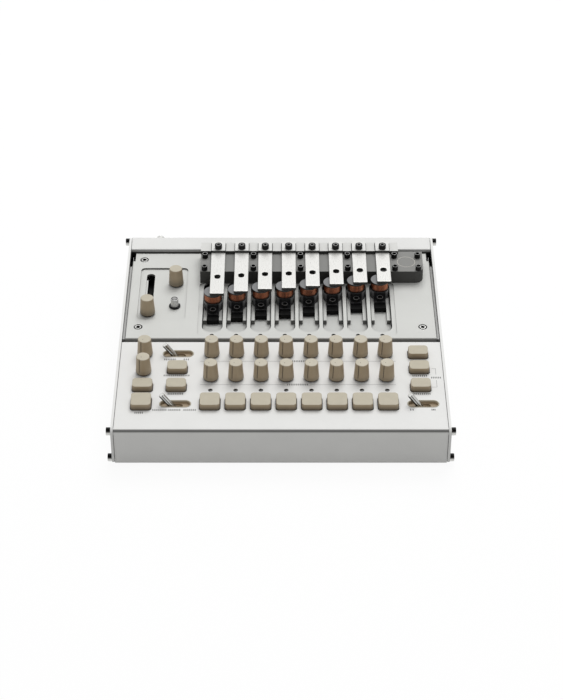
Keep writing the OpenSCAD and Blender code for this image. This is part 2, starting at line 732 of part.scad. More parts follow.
// Circuit boards with the bodies of the controls, and the rear sockets
module control_board() color(board_green) {
  difference() {
    union() {
      translate([col_1 - board_over[0], front_y + board_in[0], top_z + board_top - board_t])
        cube([col_4 - col_1 + board_over[0] + board_over[1], panel_d - board_in[0] - board_in[1], board_t]);
      for (k = panel_knobs) on_panel(k[0], k[1]) block_on(board_top, pot_w, pot_d, pot_top);
      for (k = keys) on_panel(k[0], k[1]) block_on(board_top, switch_w, switch_w, switch_top);
      for (t = toggles, side = [-1, 1]) on_panel(t[0], t[1] + side * (ear_in + ear_t / 2))
        block_on(board_top, ear_w, ear_t, pin_r + ear_over - pivot_depth);
      for (k = lamps) on_panel(k[0], k[1]) translate([0, 0, board_top - board_t / 2])
        cylinder(r = lamp_r, h = -board_top + board_t / 2 - 0.4);
    }
    for (k = panel_knobs) on_panel(k[0], k[1]) blind_bore(shaft_r + run, shaft_end - float_gap, pot_top);
    for (k = keys) on_panel(k[0], k[1])
      blind_bore(stem_r + run, stem_end - key_travel - float_gap, switch_top);
    for (t = toggles) on_panel(t[0], t[1]) translate([0, 0, -pivot_depth]) rotate([90, 0, 0])
      cylinder(r = pin_r + run, h = 2 * (ear_in + ear_t + over), center = true);
  }
  on_deck() small_board();
  rear_sockets();
}

// Body of a control, standing on a board whose face is at low
module block_on(low, w, d, high) translate([-w / 2, -d / 2, low - board_t / 2])
  cube([w, d, high - low + board_t / 2]);

// Hole from above, down to a floor
module blind_bore(r, low, high) translate([0, 0, low]) cylinder(r = r, h = high - low + over);

// Board under the left pocket, hung from the deck: fader, knob and push switch
module small_board() difference() {
  union() {
    translate([pocket_x + small_board_in, pocket_v - small_board_over, small_board_top - board_t])
      cube([pocket_w - 2 * small_board_in, pocket_len + 2 * small_board_over, board_t]);
    translate([fader_x, fader_v + fader_travel / 2, 0])
      block_on(small_board_top, fader_body_w, fader_travel + 2 * fader_body_end, fader_body_top);
    translate([pocket_col, pocket_knob_v, 0])
      block_on(small_board_top, pot_w, pot_d, pot_top - pocket_depth);
    translate([pocket_col, push_v, 0]) block_on(small_board_top, push_body_w, push_body_w, push_body_top);
    translate([pocket_col, push_v, push_body_top - over])
      cylinder(r = neck_r, h = collar_h / 2 - pocket_depth - push_body_top + over);
    translate([pocket_col, push_v, -pocket_depth + seat]) cylinder(r = collar_r, h = collar_h);
    for (v = [pocket_v + small_post_in, pocket_v + pocket_len - small_post_in])
      translate([pocket_col, v, small_board_top - board_t / 2])
        cylinder(r = small_post_r, h = -deck_t - seat - small_board_top + board_t / 2);
  }
  translate([fader_x - blade_w / 2 - slide, fader_v - blade_d / 2 - slide, small_board_top + fader_floor])
    cube([blade_w + 2 * slide, fader_travel + blade_d + 2 * slide, -small_board_top]);
  translate([pocket_col, pocket_knob_v, 0])
    blind_bore(shaft_r + run, shaft_end - pocket_depth - float_gap, pot_top - pocket_depth);
  translate([pocket_col, push_v, 0]) blind_bore(push_r + run, small_board_top + push_floor, collar_h);
}

// Jacks with collars and nuts, a flat port and a power inlet, held in the rear wall
module rear_sockets() {
  for (j = jacks) on_rear(j[0], j[1]) difference() {
    union() {
      translate([-jack_body[0] / 2, -jack_above, -sheet_t - seat - jack_body[2]]) cube(jack_body);
      translate([0, 0, -sheet_t - over]) cylinder(r = jack_collar_r, h = jack_reach + sheet_t + over);
    }
    translate([0, 0, -jack_bore]) cylinder(r = jack_bore_r, h = jack_bore + jack_reach + over);
  }
  for (j = jacks) if (j[1] > jack_nut_r + 1) on_rear(j[0], j[1]) translate([0, 0, seat]) difference() {
    cylinder(r = jack_nut_r, h = jack_nut_h);
    translate([0, 0, -over]) cylinder(r = jack_collar_r + seat, h = jack_nut_h + 2 * over);
  }
  on_rear(port_x, port_down) difference() {
    union() {
      translate([0, 0, -sheet_t - over]) linear_extrude(sheet_t + over)
        centred_rect(port_w, port_h, port_h / 2 - 0.2);
      translate([-port_w / 2 - 1, -port_h / 2 - 1, -sheet_t - seat - port_deep])
        cube([port_w + 2, port_h + 2, port_deep]);
    }
    translate([0, 0, -port_bore]) linear_extrude(port_bore + over)
      centred_rect(port_w - 2 * port_wall, port_h - 2 * port_wall, port_h / 2 - port_wall - 0.2);
  }
  on_rear(inlet_x, port_down) {
    difference() {
      union() {
        translate([0, 0, -sheet_t - over]) cylinder(r = inlet_r, h = sheet_t + over + inlet_rise);
        translate([-inlet_r - 1, -inlet_r - 1, -sheet_t - seat - inlet_deep])
          cube([2 * inlet_r + 2, 2 * inlet_r + 2, inlet_deep]);
      }
      translate([0, 0, -inlet_bore]) cylinder(r = inlet_bore_r, h = inlet_bore + inlet_rise + over);
    }
    translate([0, 0, -inlet_deep]) cylinder(r = inlet_pin_r, h = inlet_bore);
  }
}

// Four rubber feet under the base plate
module rubber_feet() color(black)
  for (x = [foot_in - in_w / 2, in_w / 2 - foot_in], y = [front_y + foot_in, rear_y - foot_in])
    translate([x, y, 0]) cylinder(r = foot_r, h = foot_h);

// Dished inserts that the toggle levers come out of
module toggle_bezels() color(beige) for (t = toggles) on_panel(t[0], t[1]) difference() {
  tall = bezel_deep + bezel_rise;
  translate([0, 0, -bezel_deep]) linear_extrude(tall) centred_rect(bezel_w, bezel_d, bezel_r);
  translate([0, 0, bezel_floor - bezel_deep]) linear_extrude(tall)
    centred_rect(bezel_w - 2 * bezel_rim, bezel_d - 2 * bezel_rim, bezel_r - bezel_rim);
  translate([0, 0, -bezel_deep - over]) linear_extrude(tall)
    centred_rect(bezel_slot, bezel_slot_w, lever_r);
}

// Tapered knob on its shaft, with a pointer groove down its side
module knob_on_shaft(shaft_low) {
  bore = shaft_r + run;
  deep = knob_h * 0.6;
  lean = atan((knob_r - knob_top_r) / knob_h);
  difference() {
    translate([0, 0, knob_gap]) rotate_extrude() polygon([[0, deep], [bore, deep], [bore, 0],
      [knob_r, 0], [knob_r, knob_edge], [knob_top_r, knob_h - knob_edge], [knob_top_r - knob_edge, knob_h],
      [0, knob_h]]);
    rotate([0, 0, -pointer_turn]) translate([0, pointer_deep - knob_r, 0]) rotate([-lean, 0, 0])
      translate([-pointer_w / 2, -knob_r, -over]) cube([pointer_w, knob_r, knob_h + 3 * over]);
  }
  translate([0, 0, shaft_low]) cylinder(r = shaft_r, h = knob_gap + deep - run - shaft_low);
}

module panel_knob(k) color(beige) on_panel(k[0], k[1]) knob_on_shaft(shaft_end);

module pocket_knob() color(beige) on_deck() translate([pocket_col, pocket_knob_v, -pocket_depth])
  knob_on_shaft(shaft_end);

// The same knob form on a blade that runs in the fader's body
module fader_knob() color(beige) on_deck() translate([fader_x, fader_v, -pocket_depth + knob_gap]) {
  rotate_extrude() polygon([[0, 0], [knob_r, 0], [knob_r, knob_edge], [knob_top_r, knob_h - knob_edge],
    [knob_top_r - knob_edge, knob_h], [0, knob_h]]);
  blade_low = small_board_top + fader_floor + float_gap + pocket_depth - knob_gap;
  translate([-blade_w / 2, -blade_d / 2, blade_low]) cube([blade_w, blade_d, over - blade_low]);
}

// Round plunger in the collar of its switch
module push_button() color(steel) on_deck()
  translate([pocket_col, push_v, push_low]) cylinder(r = push_r, h = push_h - pocket_depth - push_low);

// Key button: a tapered cap with round corners, a lip under the panel and a stem into its switch
module key_button(k) color(beige) on_panel(k[0], k[1]) {
  edge = 0.5;
  top_r = key_r - key_taper;
  hull() for (x = [-1, 1], y = [-1, 1]) translate([x * (key_w / 2 - key_r), y * (k[2] / 2 - key_r), 0]) {
    translate([0, 0, key_foot]) cylinder(r = key_r, h = -key_foot, $fn = 32);
    cylinder(r1 = key_r, r2 = top_r, h = key_h - edge, $fn = 32);
    translate([0, 0, key_h - edge]) cylinder(r1 = top_r, r2 = top_r - edge, h = edge, $fn = 32);
  }
  translate([-key_w / 2 + key_r, -k[2] / 2 - key_gap - key_lip, key_foot])
    cube([key_w - 2 * key_r, k[2] + 2 * (key_gap + key_lip), key_lip_t]);
  translate([0, 0, stem_end]) cylinder(r = stem_r, h = key_foot - stem_end + 0.5);
}

// Lever on a cross pin, leaning to the left at rest
module toggle_lever(t) color(steel) on_panel(t[0], t[1]) translate([0, 0, -pivot_depth]) {
  rotate([0, -lever_lean, 0]) translate([0, 0, -lever_tail]) {
    cylinder(r = lever_r, h = lever_tail + lever_len - lever_edge);
    translate([0, 0, lever_tail + lever_len - lever_edge])
      cylinder(r1 = lever_r, r2 = lever_r - lever_edge, h = lever_edge);
  }
  rotate([90, 0, 0]) cylinder(r = pin_r, h = 2 * (ear_in + ear_t - pin_short), center = true);
}

// Coil on its carriage: cup on a flange with short wings, tongue between the rails, winding,
// top disc on its core, and lock screw
module coil_carriage(i) on_deck() translate([slot_x(i), coil_v(i), 0]) {
  lock_v = coil_r + lock_head_r + 0.2;
  flange_top = carriage_base + flange_t;
  key_low = floor_top + 0.4;
  wide = coil_r - 0.3;
  tip = tongue_w / 2;
  wing = 2;
  wing_end = wing + 3.5;
  front = lock_v + lock_head_r + 0.3;
  core_r = 2.4;
  color(black) difference() {
    union() {
      translate([0, 0, carriage_base]) cylinder(r = coil_r - 0.05, h = cup_h);
      translate([-tip, -tongue_len, key_low])
        cube([tongue_w, tongue_len + coil_r - 2, carriage_base + 0.6 - key_low]);
      translate([0, 0, carriage_base]) linear_extrude(flange_t) polygon([[-wide, 0], [-wide, -wing],
        [-tip, -wing_end], [-tip, -front], [tip, -front], [tip, -wing_end], [wide, -wing], [wide, 0]]);
    }
    translate([0, -lock_v, key_low + 1]) cylinder(r = thin_shank_r + seat, h = flange_top - key_low + over);
  }
  color(copper) translate([0, 0, winding_base]) rotate_extrude()
    polygon([[core_r + seat, 0], [coil_r - 0.7, 0], [coil_r - 0.35, winding_h * 0.2],
      [coil_r - 0.35, winding_h * 0.8], [coil_r - 0.7, winding_h], [core_r + seat, winding_h]]);
  color(steel) {
    translate([0, 0, disc_base]) cylinder(r = coil_r, h = disc_t);
    translate([0, 0, winding_base]) cylinder(r = core_r, h = disc_base - winding_base);
  }
  color(black) translate([0, -lock_v, flange_top + seat])
    cap_screw(lock_head_r, lock_head_h, thin_shank_r, flange_top - key_low - 1.5);
}

front_cover();
rear_cover();
base_plate();
side_plates();
resonator_deck();
bridge_block();
resonator_clamps();
resonator_bars();
black_screws();
case_screws();
control_board();
rubber_feet();
toggle_bezels();
panel_knob(left_knobs[0]);  // left_rear_knob
panel_knob(left_knobs[1]);  // left_front_knob
pocket_knob();
fader_knob();
push_button();
for (i = [0:voices - 1]) {
  key_button(step_keys[i]);
  panel_knob(upper_knobs[i]);
  panel_knob(lower_knobs[i]);
  coil_carriage(i);
}
for (i = [0:2]) toggle_lever(toggles[i]);
for (i = [0:3]) key_button(left_keys[i]);
for (i = [0:2]) key_button(right_keys[i]);
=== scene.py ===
import json
import math
from types import SimpleNamespace

import bpy
import numpy as np
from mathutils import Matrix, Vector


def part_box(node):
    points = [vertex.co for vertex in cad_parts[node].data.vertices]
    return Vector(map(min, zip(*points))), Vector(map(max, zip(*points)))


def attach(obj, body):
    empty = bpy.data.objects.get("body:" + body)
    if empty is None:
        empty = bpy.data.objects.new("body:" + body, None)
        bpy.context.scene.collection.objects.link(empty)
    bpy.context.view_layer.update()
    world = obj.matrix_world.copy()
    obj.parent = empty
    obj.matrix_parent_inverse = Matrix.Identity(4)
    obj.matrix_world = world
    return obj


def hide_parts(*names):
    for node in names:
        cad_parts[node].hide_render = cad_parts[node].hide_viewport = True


# Desktop synthesizer with tuned bars over sliding coils. Settings are in millimetres and degrees
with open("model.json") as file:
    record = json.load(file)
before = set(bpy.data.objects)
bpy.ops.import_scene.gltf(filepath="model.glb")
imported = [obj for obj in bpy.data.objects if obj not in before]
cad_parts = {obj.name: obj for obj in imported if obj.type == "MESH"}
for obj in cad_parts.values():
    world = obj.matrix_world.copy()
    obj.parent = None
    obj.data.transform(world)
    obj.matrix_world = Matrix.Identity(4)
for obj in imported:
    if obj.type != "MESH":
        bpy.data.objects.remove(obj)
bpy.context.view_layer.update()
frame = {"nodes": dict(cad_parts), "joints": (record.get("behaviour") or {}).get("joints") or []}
nodes = frame["nodes"]
joints = {j["name"]: j for j in frame["joints"]}
scene = bpy.context.scene
mm = 0.001

# The level panel and the sloping deck: an origin, and rows that are the local x, y and z directions
deckLayout = dict(pocketKnobBack=68.0, pocketDepth=1.3)
levelAxes = np.eye(3)
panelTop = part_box("front_cover")[1].z
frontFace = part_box("front_cover")[0].y
deckBack = np.array(joints["fader_knob_slide"]["axis"])
deckUp = np.array(joints["pocket_knob_turn"]["axis"])
deckAxes = np.array([[1, 0, 0], deckBack, deckUp])
pocketKnobSpot = np.array(joints["pocket_knob_turn"]["pos_m"])
deckOrigin = pocketKnobSpot * [0, 1, 1] - deckBack * deckLayout["pocketKnobBack"] * mm
deckLevel = deckOrigin @ deckUp


# Local millimetres to the frame's metres: origin plus the point times the axes
def put(local, origin, axes=levelAxes):
    return np.asarray(origin) + np.asarray(local, float) * mm @ axes


# A place on the deck: across, back from its front edge, and up from its face
def deckSpot(x, back, up=0.0):
    return put([x, back, up], deckOrigin, deckAxes)


# The middle of a node's box, at a height
def overNode(name, z):
    low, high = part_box(name)
    return np.array([(low.x + high.x) / 2, (low.y + high.y) / 2, z])


# Outline with its inner corners turned into arcs: each arc starts and ends where a circle of that radius
# touches both sides, its points lie at even steps of the turn, and a point before and after keeps the sides
# flat
def filleted(points, radii, steps=5):
    p = np.asarray(points, float)
    r = np.asarray(radii, float)[:, None]
    into = np.diff(p[:-1], axis=0)
    out = np.diff(p[1:], axis=0)
    into /= np.linalg.norm(into, axis=1)[:, None]
    out /= np.linalg.norm(out, axis=1)[:, None]
    left = np.stack([-into[:, 1], into[:, 0]], 1)
    turn = np.arctan2(np.sum(left * out, 1), np.sum(into * out, 1))[:, None]
    reach = r * np.tan(np.abs(turn) / 2)
    start = p[1:-1] - into * reach
    centre = start + left * r * np.sign(turn)
    angle = (turn * np.linspace(0, 1, steps))[:, :, None]
    arm = (start - centre)[:, None, :]
    square = np.stack([-arm[..., 1], arm[..., 0]], -1)
    arc = centre[:, None, :] + arm * np.cos(angle) + square * np.sin(angle)
    before = (start - into * 0.3 * r)[:, None, :]
    after = (p[1:-1] + out * (reach + 0.3 * r))[:, None, :]
    return np.concatenate([p[:1], np.concatenate([before, arc, after], 1).reshape(-1, 2), p[-1:]])


# Faces turned outwards: the sum of the triangles' signed volumes is positive on a closed skin
def outward(verts, quads, tris):
    flat = np.concatenate([quads[:, [0, 1, 2]], quads[:, [0, 2, 3]], tris])
    shifted = verts - verts.mean(0)
    a, b, c = (shifted[flat[:, k]] for k in range(3))
    if np.einsum("ij,ij->", a, np.cross(b, c)) < 0:
        quads, tris = quads[:, ::-1], tris[:, ::-1]
    return verts, quads, tris


# Skin over rings of points: ring i's point j meets its neighbours in quads, each ring closes on itself, and
# each end is a fan to the ring's mean. With loop, the last ring meets the first instead, as on a torus
def skin(rings, loop=False):
    count, around = rings.shape[:2]
    ring = np.arange(count if loop else count - 1)[:, None] * around
    after = (ring + around) % (count * around)
    j = np.arange(around)
    k = (j + 1) % around
    quads = np.stack([ring + j, ring + k, after + k, after + j], -1).reshape(-1, 4)
    verts = rings.reshape(-1, 3)
    if loop:
        return outward(verts, quads, np.zeros((0, 3), int))
    end = (count - 1) * around
    low = np.full(around, count * around)
    verts = np.concatenate([verts, rings[0].mean(0)[None], rings[-1].mean(0)[None]])
    tris = np.concatenate([np.stack([low, k, j], 1), np.stack([low + 1, end + j, end + k], 1)])
    return outward(verts, quads, tris)


# Surface of revolution: point (radius, height) of the profile swept through the turn.
# shape(turn, radius, height) may give back other radii, such as a hexagon's or a knurl's
def revolved(profile, origin, axes=levelAxes, steps=48, turn=None, shape=None, loop=False):
    turn = np.arange(steps) * 2 * np.pi / steps if turn is None else turn
    radius = np.repeat(profile[:, 0:1], len(turn), 1)
    height = np.repeat(profile[:, 1:2], len(turn), 1)
    if shape:
        radius, height = shape(turn[None, :], radius, height)
    rings = np.stack([radius * np.cos(turn), radius * np.sin(turn), height], -1)
    return skin(put(rings, origin, axes), loop)


# Round peg between two heights, with its lower and upper edge rounded
def peg(radius, low, high, edges, origin, axes=levelAxes, steps=48, fine=4):
    heart = 0.2
    profile = filleted([(heart, low), (radius, low), (radius, high), (heart, high)], edges, fine)
    return revolved(profile, origin, axes, steps)


# Flat ring: a loop of four points, two radii at two heights
def flatRing(inner, outer, low, high, origin, axes, steps=64):
    profile = np.array([[inner, low], [inner, high], [outer, high], [outer, low]])
    return revolved(profile, origin, axes, steps, loop=True)


# A hexagon's radius over its flat's distance: one over the cosine of the turn from the middle of that flat
def hexagon(turn):
    return 1 / np.cos(np.mod(turn, np.pi / 3) - np.pi / 6)


# Rounded rectangles stacked into a solid: each ring has its half width, half depth, corner radius and height,
# and runs through four quarter arcs about the corners' centres
def rectLoft(halfX, halfY, corner, height, origin, axes=levelAxes, steps=7, loop=False):
    given = (np.atleast_1d(v).astype(float) for v in (halfX, halfY, corner, height))
    halfX, halfY, corner, height = np.broadcast_arrays(*given)
    corner = np.minimum(corner, np.minimum(halfX, halfY) * 0.999)
    turn = (np.arange(4)[:, None] * np.pi / 2 + np.linspace(0, np.pi / 2, steps)).ravel()
    signX = np.repeat([1, -1, -1, 1], steps)
    signY = np.repeat([1, 1, -1, -1], steps)
    x = signX * (halfX - corner)[:, None] + corner[:, None] * np.cos(turn)
    y = signY * (halfY - corner)[:, None] + corner[:, None] * np.sin(turn)
    z = np.repeat(height[:, None], len(turn), 1)
    return skin(put(np.stack([x, y, z], -1), origin, axes), loop)


# Frame: a loop of four rounded rectangles, two outside and two set in by the wall
def frameShell(halfX, halfY, corner, wall, low, high, origin, axes=levelAxes, steps=9):
    inset = np.array([0, 0, 1, 1]) * wall
    heights = [low, high, high, low]
    return rectLoft(halfX - inset, halfY - inset, corner - inset, heights, origin, axes, steps, loop=True)


# Box with rounded edges: the profile (inset, height) of its wall carried round a rounded rectangle
def softBox(sizeX, sizeY, low, high, edge, origin, axes=levelAxes, corner=None):
    inner = min(sizeX, sizeY) * 0.3
    wall = filleted([(inner, low), (0, low), (0, high), (inner, high)], [edge, edge], 4)
    inset = wall[:, 0]
    rounding = np.maximum((corner or edge * 1.2) - 0.6 * inset, 0.05)
    return rectLoft(sizeX / 2 - inset, sizeY / 2 - inset, rounding, wall[:, 1], origin, axes, steps=5)


# The same on the deck, given by its place across and back
def deckBox(sizeX, sizeY, low, high, edge, x, back):
    return softBox(sizeX, sizeY, low, high, edge, deckSpot(x, back), deckAxes)


# Shells joined into one mesh object that rides on a body and may stand for CAD nodes.
# Its shells come in groups, each with its own finish
def newPiece(name, dressed, body, replaces=(), sharp=38):
    shells = [shell for _, group in dressed for shell in group]
    wears = np.concatenate([np.full(len(group), i, int) for i, (_, group) in enumerate(dressed)])
    first = np.cumsum([0] + [len(s[0]) for s in shells])
    verts = np.concatenate([s[0] for s in shells])
    quads = np.concatenate([s[1] + n for s, n in zip(shells, first)])
    tris = np.concatenate([s[2] + n for s, n in zip(shells, first)])
    corners = np.concatenate([quads.ravel(), tris.ravel()])
    starts = np.concatenate([np.arange(len(quads)) * 4, len(quads) * 4 + np.arange(len(tris)) * 3])
    ringHighlight = np.concatenate([np.repeat(wears, [len(s[k]) for s in shells]) for k in (1, 2)])
    mesh = bpy.data.meshes.new(name)
    for finish, _ in dressed:
        mesh.materials.append(finish.material)
    mesh.vertices.add(len(verts))
    mesh.vertices.foreach_set("co", verts.astype(np.float32).ravel())
    mesh.loops.add(len(corners))
    mesh.loops.foreach_set("vertex_index", corners.astype(np.int32))
    mesh.polygons.add(len(starts))
    mesh.polygons.foreach_set("loop_start", starts.astype(np.int32))
    mesh.polygons.foreach_set("material_index", ringHighlight.astype(np.int32))
    mesh.polygons.foreach_set("use_smooth", np.ones(len(starts), bool))
    mesh.update(calc_edges=True)
    mesh.set_sharp_from_angle(angle=math.radians(sharp))
    piece = bpy.data.objects.new(name, mesh)
    scene.collection.objects.link(piece)
    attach(piece, body)
    if replaces:
        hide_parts(*replaces)
    return piece


# Materials

# A new finish: its material and shader, and helpers that add a node, set its sockets and join two sockets
def newFinish(name, color, roughness, metallic=0.0, **sockets):
    material = bpy.data.materials.new(name)
    material.use_nodes = True
    tree = material.node_tree
    shader = tree.nodes["Principled BSDF"]

    def setAll(node, values):
        for key, value in values.items():
            socket = key.replace("_", " ")
            if socket in node.inputs.keys():
                node.inputs[socket].default_value = value
            else:
                setattr(node, key, value)
        return node

    def add(kind, **values):
        return setAll(tree.nodes.new(kind), values)

    setAll(shader, dict(Base_Color=(*color, 1), Roughness=roughness, Metallic=metallic, **sockets))
    return SimpleNamespace(material=material, tree=tree, shader=shader, add=add, join=tree.links.new)


# Fine grain on Object coordinates: noise in cells of the given size, stretched along an axis if asked
def grain(f, size, stretch=(1, 1, 1), detail=3.0):
    place = f.add("ShaderNodeTexCoord")
    mapping = f.add("ShaderNodeMapping", Scale=stretch)
    noise = f.add("ShaderNodeTexNoise", Scale=1000.0 / size, Detail=detail, Roughness=0.55)
    f.join(place.outputs["Object"], mapping.inputs["Vector"])
    f.join(mapping.outputs["Vector"], noise.inputs["Vector"])
    return noise.outputs["Fac"]


# A value carried from one span to another, and held at the ends
def spread(f, source, low, high, toLow=0.0, toHigh=1.0):
    span = f.add("ShaderNodeMapRange", From_Min=low, From_Max=high, To_Min=toLow, To_Max=toHigh)
    f.join(source, span.inputs["Value"])
    return span.outputs["Result"]


# Dot product of a direction with the surface's normal or place, carried from low and high to 0 and 1
def along(f, output, direction, low, high):
    place = f.add("ShaderNodeTexCoord")
    dot = f.add("ShaderNodeVectorMath", operation="DOT_PRODUCT")
    dot.inputs[1].default_value = direction
    f.join(place.outputs[output], dot.inputs[0])
    return spread(f, dot.outputs["Value"], low, high)


# How far a face looks in a direction
def facing(f, direction, low, high):
    return along(f, "Normal", direction, low, high)


# How far a point lies past a level along a direction: 0 at the level, in metres, and 1 at the given
# millimetres past it
def past(f, direction, level, run):
    return along(f, "Object", direction, level, level + run * mm)


# The same downwards from a height in metres
def below(f, level, run):
    return past(f, (0, 0, -1), -level, run)


# The same downwards, square to the deck, from a height over its face in millimetres
def belowDeck(f, height, run):
    return past(f, -deckUp, -deckLevel - height * mm, run)


# One where both masks are
def both(f, first, second):
    product = f.add("ShaderNodeMath", operation="MULTIPLY")
    f.join(first, product.inputs[0])
    f.join(second, product.inputs[1])
    return product.outputs[0]


# Two tones of a colour mixed by a texture
def tones(f, source, light, dark, fromLow=0.3, fromHigh=0.7):
    ramp = f.add("ShaderNodeValToRGB")
    ramp.color_ramp.elements[0].position = fromLow
    ramp.color_ramp.elements[0].color = (*dark, 1)
    ramp.color_ramp.elements[1].position = fromHigh
    ramp.color_ramp.elements[1].color = (*light, 1)
    f.join(source, ramp.inputs["Fac"])
    f.join(ramp.outputs["Color"], f.shader.inputs["Base Color"])


# The colour so far, mixed towards another where the mask is 1
def paint(f, mask, color):
    base = f.shader.inputs["Base Color"]
    mix = f.add("ShaderNodeMix", data_type="RGBA")
    f.join(base.links[0].from_socket, mix.inputs["A"])
    mix.inputs["B"].default_value = (*finishes[color], 1)
    f.join(mask, mix.inputs["Factor"])
    f.join(mix.outputs["Result"], base)


# Grain in gloss and height: roughness swings about its value, and the bump is hundredths of a millimetre
def textured(f, source, roughness, swing, strength, depth):
    bump = f.add("ShaderNodeBump", Strength=strength, Distance=depth * mm)
    f.join(spread(f, source, 0.35, 0.65, roughness - swing, roughness + swing), f.shader.inputs["Roughness"])
    f.join(source, bump.inputs["Height"])
    f.join(bump.outputs["Normal"], f.shader.inputs["Normal"])


# A colour scaled towards black
def shade(color, share):
    return tuple(c * share for c in color)


# Bead-blasted and anodised metal: fine grain in height, faint mottling in colour and gloss
def anodised(name, color, roughness=0.55, grainSize=0.28):
    f = newFinish(name, finishes[color], roughness, Specular_IOR_Level=0.3)
    tones(f, grain(f, 22.0), finishes[color], shade(finishes[color], 0.965))
    textured(f, grain(f, grainSize, detail=2.0), roughness, 0.06, 0.25, 0.02)
    return f


# Moulded plastic or black oxide: spark-eroded skin and a faint change of tone
def moulded(name, color, roughness, skinDepth=0.3, specular=0.35):
    f = newFinish(name, finishes[color], roughness, Specular_IOR_Level=specular)
    tones(f, grain(f, 6.0), finishes[color], shade(finishes[color], 0.94))
    textured(f, grain(f, 0.35), roughness, roughness * 0.14, skinDepth, 0.025)
    return f


# Metal with a drawn grain along one axis
def drawnMetal(name, color, roughness, stretch=(1, 1, 1), grainSize=0.25, metallic=1.0, strength=0.12):
    f = newFinish(name, finishes[color], roughness, metallic)
    tones(f, grain(f, 9.0), finishes[color], shade(finishes[color], 0.97))
    textured(f, grain(f, grainSize, stretch), roughness, roughness * 2 * strength, strength, 0.01)
    return f


# Faces that look towards the middle of the case: the normal's x times the place's x is negative there
def inwards(f):
    place = f.add("ShaderNodeTexCoord")
    product = f.add("ShaderNodeVectorMath", operation="MULTIPLY")
    parts = f.add("ShaderNodeSeparateXYZ")
    f.join(place.outputs["Normal"], product.inputs[0])
    f.join(place.outputs["Object"], product.inputs[1])
    f.join(product.outputs["Vector"], parts.inputs["Vector"])
    return spread(f, parts.outputs["X"], -0.05, -0.10)


# Painted reflection for round metal: bands of light and dark by how far a face looks along one axis
def banded(name, axis, bands, roughness):
    f = newFinish(name, (0.5, 0.5, 0.49), roughness, 0.9)
    ramp = f.add("ShaderNodeValToRGB")
    elements = ramp.color_ramp.elements
    for k, (position, tone) in enumerate(bands):
        element = elements[k] if k < 2 else elements.new(position)
        element.position = position
        element.color = (tone, tone, tone * 0.97, 1)
    f.join(facing(f, axis, -1, 1), ramp.inputs["Fac"])
    f.join(ramp.outputs["Color"], f.shader.inputs["Base Color"])
    textured(f, grain(f, 0.3), roughness, roughness * 0.3, 0.08, 0.01)
    return f


# Colours: sheet metal, the deck and its mechanism, steel and black, plastics, copper, and small parts
finishes = dict(
    sheet=(0.79, 0.79, 0.775), rear=(0.75, 0.75, 0.735), bendReflection=(0.16, 0.16, 0.155),
    bendShade=(0.42, 0.42, 0.41), inside=(0.05, 0.05, 0.05), flange=(0.25, 0.25, 0.245),
    sideInsideShade=(0.45, 0.45, 0.44), deck=(0.64, 0.645, 0.62), deckWallShade=(0.15, 0.15, 0.145),
    deckSkirtShade=(0.40, 0.40, 0.385), strip=(0.42, 0.42, 0.41), bridge=(0.235, 0.235, 0.225),
    bridgeWallShade=(0.055, 0.055, 0.052), ring=(0.50, 0.485, 0.44), clamp=(0.76, 0.76, 0.74),
    clampBar=(0.66, 0.66, 0.64), cutFaceShade=(0.035, 0.035, 0.033), bar=(0.725, 0.72, 0.695),
    bright=(0.62, 0.62, 0.60), black=(0.005, 0.005, 0.005), ringHighlight=(0.36, 0.36, 0.35),
    lockRingHighlight=(0.22, 0.22, 0.22), capDisc=(0.27, 0.27, 0.265), plunger=(0.60, 0.60, 0.585),
    disc=(0.15, 0.152, 0.155), beige=(0.488, 0.445, 0.346), beigeSideShade=(0.395, 0.312, 0.205),
    keyFootShade=(0.095, 0.076, 0.054), knobFootShade=(0.22, 0.18, 0.125), pointerLine=(0.13, 0.105, 0.075),
    shadow=(0.02, 0.016, 0.012), dishShade=(0.31, 0.235, 0.15), yoke=(0.78, 0.63, 0.44),
    carriage=(0.014, 0.014, 0.015), cupHighlight=(0.15, 0.15, 0.153), copper=(0.20, 0.062, 0.028),
    copperDark=(0.045, 0.014, 0.008), copperHighlight=(0.35, 0.135, 0.07), ink=(0.12, 0.12, 0.12),
    rule=(0.38, 0.38, 0.38), lens=(0.02, 0.02, 0.018), board=(0.015, 0.06, 0.035),
    rubber=(0.018, 0.018, 0.018))
# Heights and runs of the painted shade
fades = dict(bendRun=2.4, rearDown=1.6, rearRun=0.5, sideBack=90.0, sideRun=1.0, edgeRun=0.3, skirtIn=1.0,
             skirtRun=0.5, knobFootShade=5.0, keyFootShade=4.0, dishDown=0.2, dishRun=0.6, wireFoot=4.6, wireRun=1.5)
up, front, back = (0, 0, 1), (0, -1, 0), (0, 1, 0)
bendOut = (0, -math.sqrt(0.5), math.sqrt(0.5))

frontSheet = anodised("frontSheet", "sheet")
# Painted shade near the front bend, and a painted dark reflection along the bend itself
nearBend = both(frontSheet, past(frontSheet, front, -frontFace - fades["bendRun"] * mm, fades["bendRun"]),
                past(frontSheet, up, panelTop - fades["bendRun"] * mm, fades["bendRun"]))
paint(frontSheet, nearBend, "bendShade")
paint(frontSheet, facing(frontSheet, bendOut, 0.8, 0.97), "bendReflection")
# Painted shade: the front sheet's inner faces almost black
paint(frontSheet, facing(frontSheet, back, 0.3, 0.6), "inside")
rearSheet = anodised("rearSheet", "rear")
# Painted shade on the rear cover: faces looking forwards darker, and black where they lie lower down
rearInner = facing(rearSheet, front, 0.3, 0.6)
rearLow = below(rearSheet, panelTop - fades["rearDown"] * mm, fades["rearRun"])
paint(rearSheet, rearInner, "flange")
paint(rearSheet, both(rearSheet, rearInner, rearLow), "black")
sideSheet = anodised("sideSheet", "sheet")
